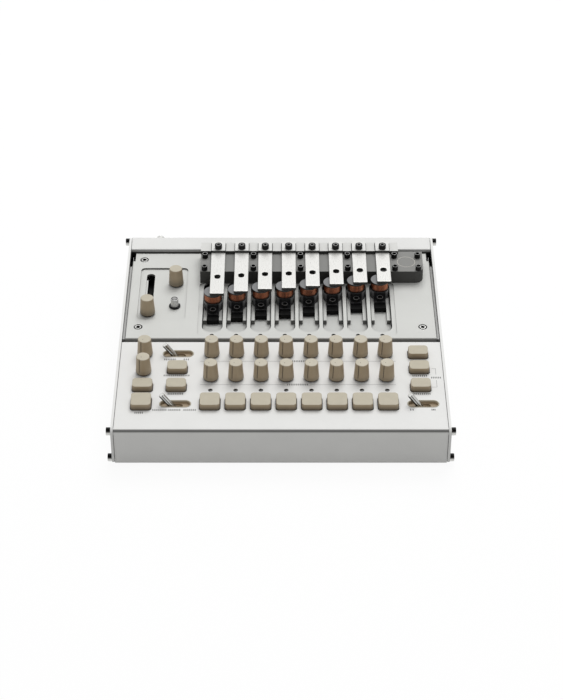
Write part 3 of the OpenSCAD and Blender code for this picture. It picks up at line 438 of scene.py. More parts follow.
# Painted shade on the side plates: inner faces darker, and black behind the deck's rear and below its face
sideInner = inwards(sideSheet)
sideBack = past(sideSheet, deckBack, deckSpot(0, fades["sideBack"]) @ deckBack, fades["sideRun"])
sideRear = both(sideSheet, sideBack, belowDeck(sideSheet, 0, fades["edgeRun"]))
paint(sideSheet, sideInner, "sideInsideShade")
paint(sideSheet, both(sideSheet, sideInner, sideRear), "black")
baseSheet = anodised("baseSheet", "sheet")
# Painted shade: the base plate's inner face almost black
paint(baseSheet, facing(baseSheet, up, 0.3, 0.6), "inside")
deckMetal = anodised("deckMetal", "deck")
# Painted shade on the deck: faces that don't look up are darker, the front skirt less dark
paint(deckMetal, facing(deckMetal, deckUp, 0.85, 0.35), "deckWallShade")
skirtLevel = -deckOrigin[1] - fades["skirtIn"] * mm
paint(deckMetal, past(deckMetal, front, skirtLevel, fades["skirtRun"]), "deckSkirtShade")
bridgeMetal = anodised("bridgeMetal", "bridge", 0.6, 0.22)
# Painted shade: the bridge's sides and front darker than its top
paint(bridgeMetal, facing(bridgeMetal, deckUp, 0.9, 0.5), "bridgeWallShade")
clampMetal = anodised("clampMetal", "clamp", 0.5)
barSteel = drawnMetal("barSteel", "bar", 0.28, (1, 0.05, 1), metallic=0.2, strength=0.02)
# Painted shade: the bars' ends, sides and hole walls dark
paint(barSteel, facing(barSteel, deckUp, 0.8, 0.4), "cutFaceShade")
brightSteel = drawnMetal("brightSteel", "bright", 0.22)
sideSteel = drawnMetal("sideSteel", "bright", 0.22)
# Painted reflection: the side screws' upward faces black
paint(sideSteel, facing(sideSteel, up, 0.1, 0.5), "black")
# Painted highlights: the bright rings round the screw sockets
highlightSteel = drawnMetal("highlightSteel", "ringHighlight", 0.3, metallic=0.3)
lockHighlightSteel = drawnMetal("lockHighlightSteel", "lockRingHighlight", 0.3, metallic=0.3)
capSteel = drawnMetal("capSteel", "capDisc", 0.4, metallic=0.15)
plungerSteel = drawnMetal("plungerSteel", "plunger", 0.35, metallic=0.25)
discSteel = drawnMetal("discSteel", "disc", 0.42, grainSize=0.3, metallic=0.15)
# Painted shade: the disc's rim dark
paint(discSteel, facing(discSteel, deckUp, 0.9, 0.5), "cutFaceShade")
blackSteel = moulded("blackSteel", "black", 0.35, 0.12, 0.15)
tongueBlack = moulded("tongueBlack", "black", 0.5, 0.12, 0.1)
carriageBlack = moulded("carriageBlack", "carriage", 0.26, 0.12, 0.3)
# Painted highlights on the carriage cup's sides
for shine in ((-0.8, -0.6, 0), (0.8, -0.6, 0)):
    paint(carriageBlack, facing(carriageBlack, shine, 0.95, 0.99), "cupHighlight")
beigePlastic = moulded("beigePlastic", "beige", 0.42, specular=0.5)
keyPlastic = moulded("keyPlastic", "beige", 0.5)
# Painted shade on knobs and keys: sides darker than the tops, and darker towards the foot
for plastic, foot in ((beigePlastic, "knobFootShade"), (keyPlastic, "keyFootShade")):
    paint(plastic, facing(plastic, up, 0.9, 0.3), "beigeSideShade")
    paint(plastic, below(plastic, panelTop + fades[foot] * mm, fades[foot]), foot)
bezelPlastic = moulded("bezelPlastic", "beige", 0.5)
# Painted shade: the bezel's dish darker below the rim
paint(bezelPlastic, below(bezelPlastic, panelTop - fades["dishDown"] * mm, fades["dishRun"]), "dishShade")
# Painted light: the yokes' colour is lightened so that the shaded slot under the lever shows brown
yokePaintedLight = moulded("yokePaintedLight", "yoke", 0.5)
shadowPlastic = moulded("shadowPlastic", "shadow", 0.6)
copperWire = drawnMetal("copperWire", "copper", 0.3, (1, 1, 6), 0.4, 0.8)
strands = grain(copperWire, 1.8, (1, 1, 0.04))
tones(copperWire, strands, finishes["copper"], finishes["copperDark"], 0.42, 0.58)
# Painted highlights on the winding's sides
gleam = both(copperWire, facing(copperWire, front, 0.93, 0.7), facing(copperWire, front, 0.2, 0.5))
paint(copperWire, gleam, "copperHighlight")
# Painted shade: the winding darker at its foot
paint(copperWire, belowDeck(copperWire, fades["wireFoot"], fades["wireRun"]), "copperDark")
lineBrown = moulded("lineBrown", "pointerLine", 0.6)
stripGrey = moulded("stripGrey", "strip", 0.6)
ringInlay = moulded("ringInlay", "ring", 0.4)
printInk = moulded("printInk", "ink", 0.6)
ruleInk = moulded("ruleInk", "rule", 0.6)
lampLens = moulded("lampLens", "lens", 0.15)
boardMask = moulded("boardMask", "board", 0.4)
footRubber = moulded("footRubber", "rubber", 0.75)
print("materials:", len(bpy.data.materials))

# Knobs: a tapered turning with soft edges on a foot that is dark as painted shade, a pointer groove down its
# side and a dot on top
knob = dict(foot=5.4, top=4.5, height=13.4, gap=0.6, band=0.7, shaft=3.0, shaftLow=-9.5, footEdge=0.35,
            topEdge=0.6, footIn=0.35, grooveHalf=0.36, grooveDepth=0.55, grooveLow=1.2, grooveIn=0.3,
            pointerTurn=30.0, fineness=120, dot=0.5, dotPlace=(-1.1, -0.7), lineHalf=0.27, lineThick=0.12,
            lineDeep=0.08, lineLow=1.3, lineHigh=0.8)


# Pointer groove: the radius and height move inwards along the profile's normal, by a depth that is even
# across two thirds of the groove and falls to nothing at its sides
def pointerGroove(profile, pointer):
    run = np.gradient(profile, axis=0)
    run /= np.linalg.norm(run, axis=1)[:, None]
    normal = np.stack([run[:, 1], -run[:, 0]], 1) * knob["grooveDepth"]
    raised = profile[:, 1] > knob["gap"] + knob["grooveLow"]
    marked = raised & (profile[:, 0] > knob["top"] - knob["grooveIn"])

    def shape(turn, radius, height):
        across = np.abs(radius * np.sin(turn - pointer)) / knob["grooveHalf"]
        deep = np.clip(3 - 3 * across, 0, 1) * (np.cos(turn - pointer) > 0) * marked[:, None]
        return radius - normal[:, :1] * deep, height - normal[:, 1:] * deep

    return shape


# Line in the pointer's groove: a flat strip along the cap's slanted side, just under its face
def pointerLine(origin, axes, pointer, start, top):
    out = np.array([math.cos(pointer), math.sin(pointer), 0])
    across = np.array([-math.sin(pointer), math.cos(pointer), 0])
    foot = knob["foot"] * out + [0, 0, start]
    rise = knob["top"] * out + [0, 0, top] - foot
    length = np.linalg.norm(rise)
    normal = np.cross(across, rise / length)
    middle = put(foot - normal * (knob["lineThick"] + knob["lineDeep"]), origin, axes)
    ends = [knob["lineLow"], length - knob["lineHigh"]]
    lineAxes = np.array([across, normal, rise / length]) @ axes
    return rectLoft(knob["lineHalf"], knob["lineThick"], 0.05, ends, middle, lineAxes)


# A knob's cap, and its foot on the shaft, dark as painted shade. The turn's steps crowd near the pointer: t
# cubed and t mixed, for t from -1 to 1
def knobShells(origin, axes, shaftLow, shaftRadius, pointed):
    top = knob["gap"] + knob["height"]
    start = knob["gap"] + knob["band"]
    profile = filleted([(0.3, start), (knob["foot"], start), (knob["top"], top), (0.3, top)],
                       [knob["footEdge"], knob["topEdge"]], 6)
    pointer = math.radians(-90 - knob["pointerTurn"])
    t = np.linspace(-1, 1, knob["fineness"], endpoint=False)
    turn = pointer + np.pi * (0.75 * t ** 3 + 0.25 * t)
    groove = pointerGroove(profile, pointer) if pointed else None
    cap = revolved(profile, origin, axes, turn=turn, shape=groove)
    under = filleted([(0.2, shaftLow), (shaftRadius, shaftLow), (shaftRadius, knob["gap"]),
                      (knob["foot"] - knob["footIn"], knob["gap"]), (knob["foot"] - 0.3, start + 0.02),
                      (0.3, start + 0.02)], [0.3, 0.1, 0.1, 0.05], 4)
    dark, line = [revolved(under, origin, axes)], []
    if pointed:
        dot = put([*knob["dotPlace"], 0], origin, axes)
        dark.append(softBox(knob["dot"], knob["dot"], top - 0.1, top + 0.02, 0.02, dot, axes))
        line.append(pointerLine(origin, axes, pointer, start, top))
    return [(beigePlastic, [cap]), (shadowPlastic, dark), (lineBrown, line)]


knobNames = [n for n in nodes if (n.endswith("knob") or "_knob_" in n) and n != "fader_knob"]
for name in knobNames:
    seat, axes = np.array(joints[name + "_turn"]["pos_m"]), levelAxes
    if name == "pocket_knob":
        seat, axes = seat - deckUp * deckLayout["pocketDepth"] * mm, deckAxes
    shells = knobShells(seat, axes, knob["shaftLow"], knob["shaft"], axes is levelAxes)
    newPiece(name + "_turned", shells, name, [name])
print("knobs:", len(knobNames))

# Fader: the same knob on a short neck and a flat blade
fader = dict(x=-94.6, back=31.5, travel=45.0, neck=1.2, neckHigh=0.5, bladeWidth=3.0, bladeDepth=5.0,
             bladeLow=-8.2, bladeLap=0.4, edge=0.3)
faderFoot = deckSpot(fader["x"], fader["back"], -deckLayout["pocketDepth"])
faderShells = knobShells(faderFoot, deckAxes, knob["gap"] - fader["neckHigh"], fader["neck"], False)
faderShells[1][1].append(softBox(fader["bladeWidth"], fader["bladeDepth"], fader["bladeLow"],
                                 knob["gap"] + fader["bladeLap"], fader["edge"], faderFoot, deckAxes))
newPiece("fader_knob_turned", faderShells, "fader_knob", ["fader_knob"])
print("fader")

# Key buttons: a cap on a skirt that is dark as painted shade, with a lip under the panel and a stem, in a
# flush surround
key = dict(width=14.7, taper=0.2, height=4.6, corner=2.4, edge=0.4, foot=-2.8, dish=0.1, dishIn=1.0,
           inner=0.42, lip=1.25, lipThick=1.0, lipInset=2.4, stem=1.6, stemLow=-10.5, stemLap=0.5,
           skirtTop=-0.05, skirtIn=0.3, capLow=-0.3, inX=0.5, inY=0.3, opening=0.43, frame=0.5,
           frameLow=-1.2)


# Depth of a key's skirt: its node's depth less the lips
def keyDepth(name):
    low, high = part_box(name)
    return (high.y - low.y) / mm - 2 * key["lip"]


# The cap is a wall profile of inset and height carried round a rounded rectangle, and its top sinks evenly
# towards the middle
def keyShells(name):
    depth = keyDepth(name)
    spot = overNode(name, panelTop)
    inner = depth * key["inner"]
    wall = filleted([(inner, key["capLow"]), (0, key["capLow"]), (key["taper"], key["height"]),
                     (inner, key["height"])], [0.1, key["edge"]], 6)
    inset = wall[:, 0]
    rim = key["taper"] + key["dishIn"]
    dish = key["dish"] * np.clip((inset - rim) / (inner - rim), 0, 1)
    height = wall[:, 1] - dish * (wall[:, 1] > key["height"] - 0.01)
    cap = rectLoft(key["width"] / 2 - key["inX"] - inset, depth / 2 - key["inY"] - inset,
                   np.maximum(key["corner"] - 0.7 * inset, 0.3), height, spot, steps=9)
    skirt = softBox(key["width"] - key["skirtIn"], depth - key["skirtIn"], key["foot"], key["skirtTop"], 0.1,
                    spot, corner=key["corner"])
    lip = softBox(key["width"] - 2 * key["lipInset"], depth + 2 * key["lip"], key["foot"],
                  key["foot"] + key["lipThick"], 0.2, spot)
    stem = peg(key["stem"], key["stemLow"], key["foot"] + key["stemLap"], [0.3, 0.1], spot, steps=32)
    return [(keyPlastic, [cap]), (shadowPlastic, [skirt, lip, stem])]


# A key's surround: a frame as large as the opening in the panel
def surroundShell(name):
    free = key["opening"]
    return frameShell(key["width"] / 2 + free, keyDepth(name) / 2 + free, key["corner"] + free, key["frame"],
                      key["frameLow"], 0, overNode(name, panelTop))


keyNames = [n for n in nodes if "button_" in n]
for name in keyNames:
    newPiece(name + "_cap", keyShells(name), name, [name])
newPiece("key_surrounds", [(frontSheet, [surroundShell(n) for n in keyNames])], "case")
print("key buttons:", len(keyNames))

# Toggles: a dished stadium with a slot for the lever, and a bat whose bands of light and dark are a painted
# reflection, with a cross pin
toggle = dict(width=21.4, depth=7.6, rise=0.3, deep=2.9, floor=-1.9, rim=0.55, wallRun=0.75, slotX=5.1,
              slotY=2.2, lean=35.0, lever=1.9, length=16.0, tail=2.2, edge=0.4, pin=1.0, pinHalf=3.85,
              pivot=5.3, earX=12.0, earY=2.0, earIn=3.3, earTop=-3.0, earEdge=0.3, boardTop=-13.0,
              bands=((0, 0.25), (0.2, 0.05), (0.42, 0.05), (0.5, 0.7), (0.6, 0.7), (0.66, 0.08), (0.75, 0.08),
                     (0.82, 0.6), (1, 0.5)))


# Bezel: rings from the outer wall over the rim, down a sloping dish to the floor, and through the slot
def bezelShell(origin):
    wall = filleted([(1.7, -toggle["deep"]), (0, -toggle["deep"]), (0, toggle["rise"]),
                     (toggle["rim"], toggle["rise"]), (toggle["rim"] + toggle["wallRun"], toggle["floor"]),
                     (1.6, toggle["floor"])], [0.2, 0.25, 0.25, 0.25], 5)
    halfX = toggle["width"] / 2 - wall[:, 0]
    halfY = toggle["depth"] / 2 - wall[:, 0]
    halfX[[0, -1]] = toggle["slotX"]
    halfY[[0, -1]] = toggle["slotY"]
    return rectLoft(halfX, halfY, halfY, wall[:, 1], origin, steps=13, loop=True)


leanTurn = math.radians(toggle["lean"])
leverAxes = np.array([[math.cos(leanTurn), 0, math.sin(leanTurn)], [0, 1, 0],
                      [-math.sin(leanTurn), 0, math.cos(leanTurn)]])
backAxes = np.array([[1, 0, 0], [0, 0, -1], [0, 1, 0]])
# Painted reflection bands on the bats
leverSteel = banded("leverSteel", leverAxes[0], toggle["bands"], 0.16)
bezels, yokes = [], []
toggleNames = [n for n in nodes if n.startswith("toggle_lever")]
for name in toggleNames:
    pivot = np.array(joints[name + "_flip"]["pos_m"])
    mouth = pivot + [0, 0, toggle["pivot"] * mm]
    bezels.append(bezelShell(mouth))
    yokes += [softBox(toggle["earX"], toggle["earY"], toggle["boardTop"], toggle["earTop"], toggle["earEdge"],
                      mouth + [0, side * toggle["earIn"] * mm, 0]) for side in (-1, 1)]
    bat = peg(toggle["lever"], -toggle["tail"], toggle["length"], [0.4, toggle["edge"]], pivot, leverAxes,
              fine=6)
    pin = peg(toggle["pin"], -toggle["pinHalf"], toggle["pinHalf"], [0.2, 0.2], pivot, backAxes, 32)
    newPiece(name + "_bat", [(leverSteel, [bat]), (brightSteel, [pin])], name, [name])
newPiece("toggle_bezels_dished", [(bezelPlastic, bezels)], "case", ["toggle_bezels"])
newPiece("toggle_yokes", [(yokePaintedLight, yokes)], "case")
print("toggles:", len(toggleNames))

# Socket-head screws: a knurled head with a hexagon socket and its shank, and a bright ring round the socket
# that is a painted highlight
screwForm = dict(knurls=24, knurlDepth=0.025, steps=96, socketDepth=0.55, flat=0.866, lead=0.12, edge=0.28,
                 ringDeep=0.08, ringProud=0.02, sizes=("head", "headHigh", "shank", "length", "mouth"))


# The knurl is a cosine round the turn
def capScrew(origin, axes, form):
    headRadius, headHeight, shankRadius, shankLength, mouth = (form[k] for k in screwForm["sizes"])
    flat = mouth * screwForm["flat"]
    floor = headHeight * (1 - screwForm["socketDepth"])
    edge = min(screwForm["edge"], 0.4 * (headRadius - mouth))
    outer = filleted([(0.15, -shankLength), (shankRadius, -shankLength), (shankRadius, 0), (headRadius, 0),
                      (headRadius, headHeight), (mouth * 1.03, headHeight)], [0.25, 0.08, 0.12, edge], 4)
    socket = np.array([[flat, headHeight - screwForm["lead"]], [flat, floor], [flat * 0.9, floor - 0.05],
                       [0.1, floor - flat * 0.4]])
    profile = np.concatenate([outer, socket])
    inSocket = np.arange(len(profile)) >= len(outer)
    side = (profile[:, 0] > headRadius * 0.985) & ~inSocket

    def shape(turn, radius, height):
        wave = 0.5 - 0.5 * np.cos(screwForm["knurls"] * turn)
        knurl = 1 - screwForm["knurlDepth"] * wave * side[:, None]
        return radius * knurl * np.where(inSocket[:, None], hexagon(turn), 1.0), height

    return revolved(profile, origin, axes, screwForm["steps"], shape=shape)


# Painted highlight: a bright ring round a socket, a hair proud of the head
def highlightRing(origin, axes, form):
    top = form["headHigh"]
    return flatRing(form["mouth"] * 1.02, form["ring"], top - screwForm["ringDeep"],
                    top + screwForm["ringProud"], origin, axes)


# Bars: free lengths follow a major scale, because a clamped bar's pitch goes with one over its length squared
bars = dict(steps=(0, 2, 4, 5, 7, 9, 11, 12), longest=51.2, clampBack=87.9, clampLength=12.2, firstX=-45.55,
            pitch=17.05, width=10.0, thick=2.0, low=10.55, holeShare=0.59, hole=2.6, edge=0.22, corner=0.5)
freeLength = bars["longest"] * 2 ** (-np.array(bars["steps"]) / 24)
barX = bars["firstX"] + bars["pitch"] * np.arange(8)


# A bar with a hole: a closed wall profile runs over the top, down the outside, under and up the hole, and is
# carried round rays from the hole's centre. A profile point is a share of the way from the hole to the edge
def barShell(x, free):
    length = free + bars["clampLength"]
    holeBack = bars["clampBack"] - bars["holeShare"] * free
    middle = bars["clampBack"] - free + length / 2 - holeBack
    steps, half, r = 7, np.array([bars["width"] / 2, length / 2]), bars["corner"]
    turn = (np.arange(4)[:, None] * np.pi / 2 + np.linspace(0, np.pi / 2, steps)).ravel()
    signs = np.stack([np.repeat([1, -1, -1, 1], steps), np.repeat([1, 1, -1, -1], steps)], 1)
    corner = signs * (half - r) + r * np.stack([np.cos(turn), np.sin(turn)], 1)
    sides = np.linspace(corner, np.roll(corner, -1, 0), 9)[:-1].transpose(1, 0, 2).reshape(-1, 2)
    keep = np.r_[True, np.linalg.norm(np.diff(sides, axis=0), axis=1) > 1e-6]
    rim = sides[keep] + [0, middle]
    ray = np.arctan2(rim[:, 1], rim[:, 0])
    circle = bars["hole"] * np.stack([np.cos(ray), np.sin(ray)], 1)
    away = (rim - circle) / np.linalg.norm(rim - circle, axis=1)[:, None]
    e, t = bars["edge"], bars["thick"]
    arc = np.linspace(0, np.pi / 2, 4)
    quarter = np.stack([1 - np.sin(arc), 1 - np.cos(arc)], 1) * e
    over = np.concatenate([[[3 * e, 0]], quarter])
    inset = np.concatenate([over, over[::-1] * [1, -1] + [0, t]])
    rings = []
    for start, direction, edgeSet in ((rim, -away, inset), (circle, away, inset[::-1])):
        plan = start[None] + direction[None] * edgeSet[:, 0, None, None]
        height = bars["low"] + t - edgeSet[:, 1, None, None]
        rings.append(np.concatenate([plan, np.broadcast_to(height, (len(edgeSet), len(ray), 1))], -1))
    local = np.concatenate(rings) + [x, holeBack, 0]
    return skin(put(local, deckOrigin, deckAxes), loop=True)


barShells = [barShell(x, free) for x, free in zip(barX, freeLength)]
newPiece("tuned_bars", [(barSteel, barShells)], "case", ["resonator_bars"])
print("bars:", np.round(freeLength, 1))

# Black screws of the clamps and the bridge, set by the bars, and the ring in the bridge's wide end
bridge = dict(high=10.05, screwFront=70.1, screwBack=85.9, left=-55.2, right=99.2, clampScrew=91.1,
              plateTop=14.6, plateFade=0.7, ringX=90.76, ringBack=80.0, ringOuter=6.6, ringInner=6.1,
              ringLow=-0.38, ringProud=0.03)
clampScrew = dict(head=2.65, headHigh=3.3, shank=1.5, length=10.5, mouth=1.2, ring=1.55)
bridgeScrew = dict(head=2.15, headHigh=3.5, shank=1.2, length=12.5, mouth=1.5, ring=1.8)
screwX = np.concatenate([[bridge["left"]], barX[1::2] + bars["pitch"] / 2, [bridge["right"]]])
seats = [(clampScrew, deckSpot(x, bridge["clampScrew"], bridge["plateTop"])) for x in barX]
seats += [(bridgeScrew, deckSpot(x, screwBack, bridge["high"])) for x in screwX
          for screwBack in (bridge["screwFront"], bridge["screwBack"])]
heads = [capScrew(spot, deckAxes, form) for form, spot in seats]
# Rings of painted highlight round the sockets
rings = [highlightRing(spot, deckAxes, form) for form, spot in seats]
newPiece("black_screws_knurled", [(blackSteel, heads), (highlightSteel, rings)], "case",
         ["black_screws"])
inlay = filleted([(bridge["ringInner"], bridge["ringLow"]), (bridge["ringInner"], bridge["ringProud"]),
                  (bridge["ringOuter"], bridge["ringProud"]), (bridge["ringOuter"], bridge["ringLow"])],
                 [0.05, 0.05], 3)
inlaySpot = deckSpot(bridge["ringX"], bridge["ringBack"], bridge["high"])
inlayRing = revolved(inlay, inlaySpot, deckAxes, 96, loop=True)
newPiece("bridge_ring", [(ringInlay, [inlayRing])], "case")
print("black screws:", len(heads))

# Clamps: the bar under the plates is greyer, cut faces get painted shade, and a thin dark strip of painted
# shade lies on each side of a plate
gapShade = dict(wide=0.4, long=9.6, low=12.57, high=12.75, aside=5.22, middle=95.3, edge=0.03)
plateFoot = deckSpot(0, bridge["clampScrew"], bridge["plateTop"] - bridge["plateFade"])[2]
paint(clampMetal, below(clampMetal, plateFoot, 0.5), "clampBar")
paint(clampMetal, facing(clampMetal, deckUp, 0.8, 0.4), "cutFaceShade")
gapShades = [deckBox(gapShade["wide"], gapShade["long"], gapShade["low"], gapShade["high"], gapShade["edge"],
                 x + side * gapShade["aside"], gapShade["middle"]) for x in barX for side in (-1, 1)]
newPiece("clamp_gap_shades", [(tongueBlack, gapShades)], "case")
print("clamp shims:", len(gapShades))

# CAD nodes that stay, with their finishes
carried = dict(front_cover=frontSheet, rear_cover=rearSheet, side_plates=sideSheet, base_plate=baseSheet,
               resonator_deck=deckMetal, bridge_block=bridgeMetal, resonator_clamps=clampMetal,
               rubber_feet=footRubber)
for nodeName, finish in carried.items():
    nodes[nodeName].data.materials.clear()
    nodes[nodeName].data.materials.append(finish.material)
print("carried over:", ", ".join(carried))

# Bright screws: four to a side plate, and countersunk ones in the deck
sideScrew = dict(inset=3.5, head=2.7, headHigh=3.0, shank=1.5, length=9.7, mouth=1.6)
sunkScrew = dict(places=((-100.4, 13.8), (99.6, 13.8), (-100.4, 97.5)), head=3.1, shank=1.5, low=-10.0,
                 rim=3.05, disc=2.2, groove=0.45, mouth=1.5, flat=1.2, lead=1.16, socket=1.3)
plateLow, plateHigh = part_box("side_plates")
inset = sideScrew["inset"] * mm
sideHeads = []
for side in (-1, 1):
    outAxes = np.array([[0, 0, -side], [0, 1, 0], [side, 0, 0]])
    sideHeads += [capScrew([side * plateHigh.x, y, z], outAxes, sideScrew)
                  for y in (plateLow.y + inset, plateHigh.y - inset)
                  for z in (plateLow.z + inset, plateHigh.z - inset)]


# Countersunk screw: shank, cone, rim, a groove round a flat disc, and a round mouth
def sunkShell(origin):
    h, s, mouth, floor = (sunkScrew[k] for k in ("head", "shank", "mouth", "socket"))
    rim, disc, deep = sunkScrew["rim"], sunkScrew["disc"], -sunkScrew["groove"]
    outer = filleted([(0.15, sunkScrew["low"]), (s, sunkScrew["low"]), (s, s - h), (h, 0), (rim, 0),
                      (rim - 0.02, deep), (disc + 0.02, deep), (disc, 0), (mouth, 0), (mouth, -floor - 0.2),
                      (0.1, -floor - 0.3)], [0.3, 0.2, 0.01, 0.01, 0.02, 0.02, 0.06, 0.02, 0.05], 4)
    return revolved(outer, origin, deckAxes, 72)


# Its painted shade: a dark flat ring in the groove, and a dark cup in the mouth with a hexagon socket
def sunkShadeFilling(origin):
    deep, floor = -sunkScrew["groove"], -sunkScrew["socket"]
    mouth, flat = sunkScrew["mouth"] - 0.02, sunkScrew["flat"]
    groove = flatRing(sunkScrew["disc"] + 0.02, sunkScrew["rim"] - 0.02, deep - 0.05, -0.04, origin, deckAxes)
    cup = np.array([[0.1, floor - 0.15], [mouth, floor - 0.15], [mouth, -0.05],
                    [flat * sunkScrew["lead"], -0.05], [flat, -0.1], [flat, floor], [0.1, floor - 0.1]])
    inSocket = np.arange(len(cup)) >= 4

    def shape(turn, radius, height):
        return radius * np.where(inSocket[:, None], hexagon(turn), 1.0), height

    return [groove, revolved(cup, origin, deckAxes, 72, shape=shape)]


sunkSpots = [deckSpot(x, screwBack) for x, screwBack in sunkScrew["places"]]
sunkShadeFillings = [shell for spot in sunkSpots for shell in sunkShadeFilling(spot)]
newPiece("case_screws_bright", [(sideSteel, sideHeads), (brightSteel, [sunkShell(p) for p in sunkSpots]),
                                (tongueBlack, sunkShadeFillings)], "case", ["case_screws"])
print("bright screws:", len(sideHeads) + len(sunkSpots))

# Packing strips in the gaps between the deck and the side plates
strip = dict(front=0.5, back=90.0, high=-0.9, low=-2.9, free=0.2, edge=0.2)
strips = []
for cover, deck in zip(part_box("front_cover"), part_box("resonator_deck")):
    strips.append(deckBox(abs(cover.x - deck.x) / mm - 2 * strip["free"], strip["back"] - strip["front"],
                          strip["low"], strip["high"], strip["edge"], (cover.x + deck.x) / 2 / mm,
                          (strip["front"] + strip["back"]) / 2))
newPiece("side_strips", [(stripGrey, strips)], "case")
print("side strips:", len(strips))

# Coil carriages: a black cup on a flange and a tongue, a wound coil, a top disc and a lock screw
coil = dict(radius=6.6, base=-4.5, cup=7.1, cupIn=0.05, winding=5.8, windingIn=0.35, windingEnd=0.9, disc=1.0,
            discGap=0.1, flange=2.4, flangeHalf=6.3, flangeFront=11.6, flangeEdge=0.5, wing=2.0, wingEnd=5.5,
            tongueHalf=4.2, tongueFront=16.5, tongueBack=4.6, tongueTop=0.6, tongueEdge=0.35, keyLow=-7.6,
            wire=0.34, wireBulge=0.09, core=2.4, run=0.05)
lockScrew = dict(front=9.05, head=2.25, headHigh=2.5, shank=1.2, length=3.6, mouth=1.75, ring=2.2)


# Winding: the drum's radius swells by a cosine of height over wire size less the turn, so that the ridges
# climb as one helix, and the drum draws in at both ends
def windingShell(origin, low, high):
    rows = int((high - low) / coil["wire"] * 6)
    height = np.linspace(low, high, rows)
    ends = np.clip(np.minimum(height - low, high - height) / coil["windingEnd"], 0, 1)
    drum = coil["radius"] - coil["windingIn"] - 0.5 * (1 - ends) ** 2
    bore = coil["core"] + coil["run"]
    profile = np.concatenate([[[bore, low]], np.stack([drum, height], 1), [[bore, high]]])

    def shape(turn, radius, tall):
        ridge = np.cos(2 * np.pi * (tall - low) / coil["wire"] - turn)
        return radius + coil["wireBulge"] * 0.5 * ridge * (radius > coil["core"] + 1), tall

    return revolved(profile, origin, deckAxes, 72, shape=shape)


# Outline moved in by a distance: each point goes along the mean of its two sides' normals
def insetOutline(outline, distance):
    after = np.roll(outline, -1, 0) - outline
    normal = np.stack([after[:, 1], -after[:, 0]], 1)
    normal /= np.linalg.norm(normal, axis=1)[:, None]
    mean = normal + np.roll(normal, 1, 0)
    mean /= np.sum(mean * mean, axis=1)[:, None] / 2
    return outline - mean * distance


# Flange: a plan with short wings and a narrow front, and a rounded wall
def flangeShell(origin):
    wide, tip, wing = coil["flangeHalf"], coil["tongueHalf"], coil["wing"]
    end, tail = coil["wingEnd"], coil["flangeFront"]
    corners = [(0, 0), (-wide, 0), (-wide, -wing), (-tip, -end), (-tip, -tail), (tip, -tail), (tip, -end),
               (wide, -wing), (wide, 0), (0, 0)]
    edge, low, high = coil["flangeEdge"], coil["base"], coil["base"] + coil["flange"]
    plan = filleted(corners, [0.3, edge, edge, edge, edge, edge, edge, 0.3], 4)[:-1]
    wall = filleted([(0.5, low), (0, low), (0, high), (0.5, high)], [0.15, 0.25], 4)
    level = np.ones(len(plan))
    loops = np.stack([np.column_stack([insetOutline(plan, inset), level * z]) for inset, z in wall])
    return skin(put(loops, origin, deckAxes))


# A carriage's shells: cup and flange, tongue, lock screw and its ring of painted highlight, winding, and the
# disc on its core
def carriageShells(spot):
    r, core, cupTop = coil["radius"], coil["core"], coil["base"] + coil["cup"]
    cupWall = filleted([(0.2, coil["base"]), (r - coil["cupIn"], coil["base"]), (r - coil["cupIn"], cupTop),
                        (core, cupTop)], [0.2, 0.35], 5)
    cup = [revolved(cupWall, spot, deckAxes, 64), flangeShell(spot)]
    middle = put([0, (coil["tongueBack"] - coil["tongueFront"]) / 2, 0], spot, deckAxes)
    tongue = softBox(2 * coil["tongueHalf"], coil["tongueFront"] + coil["tongueBack"], coil["keyLow"],
                     coil["base"] + coil["tongueTop"], coil["tongueEdge"], middle, deckAxes)
    lockSpot = put([0, -lockScrew["front"], coil["base"] + coil["flange"]], spot, deckAxes)
    lock = capScrew(lockSpot, deckAxes, lockScrew)
    ring = highlightRing(lockSpot, deckAxes, lockScrew)
    low = cupTop + coil["run"]
    high = low + coil["winding"]
    discLow = high + coil["discGap"]
    discTop = discLow + coil["disc"]
    discWall = filleted([(0.2, low), (core, low), (core, discLow), (r, discLow), (r, discTop),
                         (0.2, discTop)], [0.1, 0.1, 0.12, 0.2], 4)
    return cup, tongue, lock, ring, windingShell(spot, low, high), revolved(discWall, spot, deckAxes, 72)


carriageNames = [n for n in nodes if n.startswith("coil_carriage")]
tiltSine, tiltCosine = -deckBack[2], deckBack[1]
for name in carriageNames:
    low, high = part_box(name)
    tongueEnd = ((low.y - deckOrigin[1]) / mm - coil["keyLow"] * tiltSine) / tiltCosine
    spot = deckSpot((low.x + high.x) / 2 / mm, tongueEnd + coil["tongueFront"])
    cup, tongue, lock, ring, winding, disc = carriageShells(spot)
    newPiece(name + "_body", [(carriageBlack, cup), (tongueBlack, [tongue])], name, [name])
    # The lock screw's ring is a painted highlight
    newPiece(name + "_lock", [(blackSteel, [lock]), (lockHighlightSteel, [ring])], name)
    newPiece(name + "_winding", [(copperWire, [winding])], name, sharp=80)
    newPiece(name + "_disc", [(discSteel, [disc])], name)
print("coil carriages:", len(carriageNames))

# Black liners of the slots: a thin wall round each stadium, between the rails and the deck's face
liner = dict(slotHalf=7.28, slotRound=7.3, wall=0.5, front=8.3, back=70.3, low=-4.5, high=-2.0)
linerLong = liner["slotHalf"] + (liner["back"] - liner["front"]) / 2 - liner["slotRound"]
linerMiddle = (liner["front"] + liner["back"]) / 2
liners = [frameShell(liner["slotHalf"], linerLong, liner["slotHalf"], liner["wall"], liner["low"],
                     liner["high"], deckSpot(overNode(name, 0)[0] / mm, linerMiddle), deckAxes, 13)
          for name in carriageNames]
newPiece("slot_liners", [(tongueBlack, liners)], "case")
print("slot liners:", len(liners))

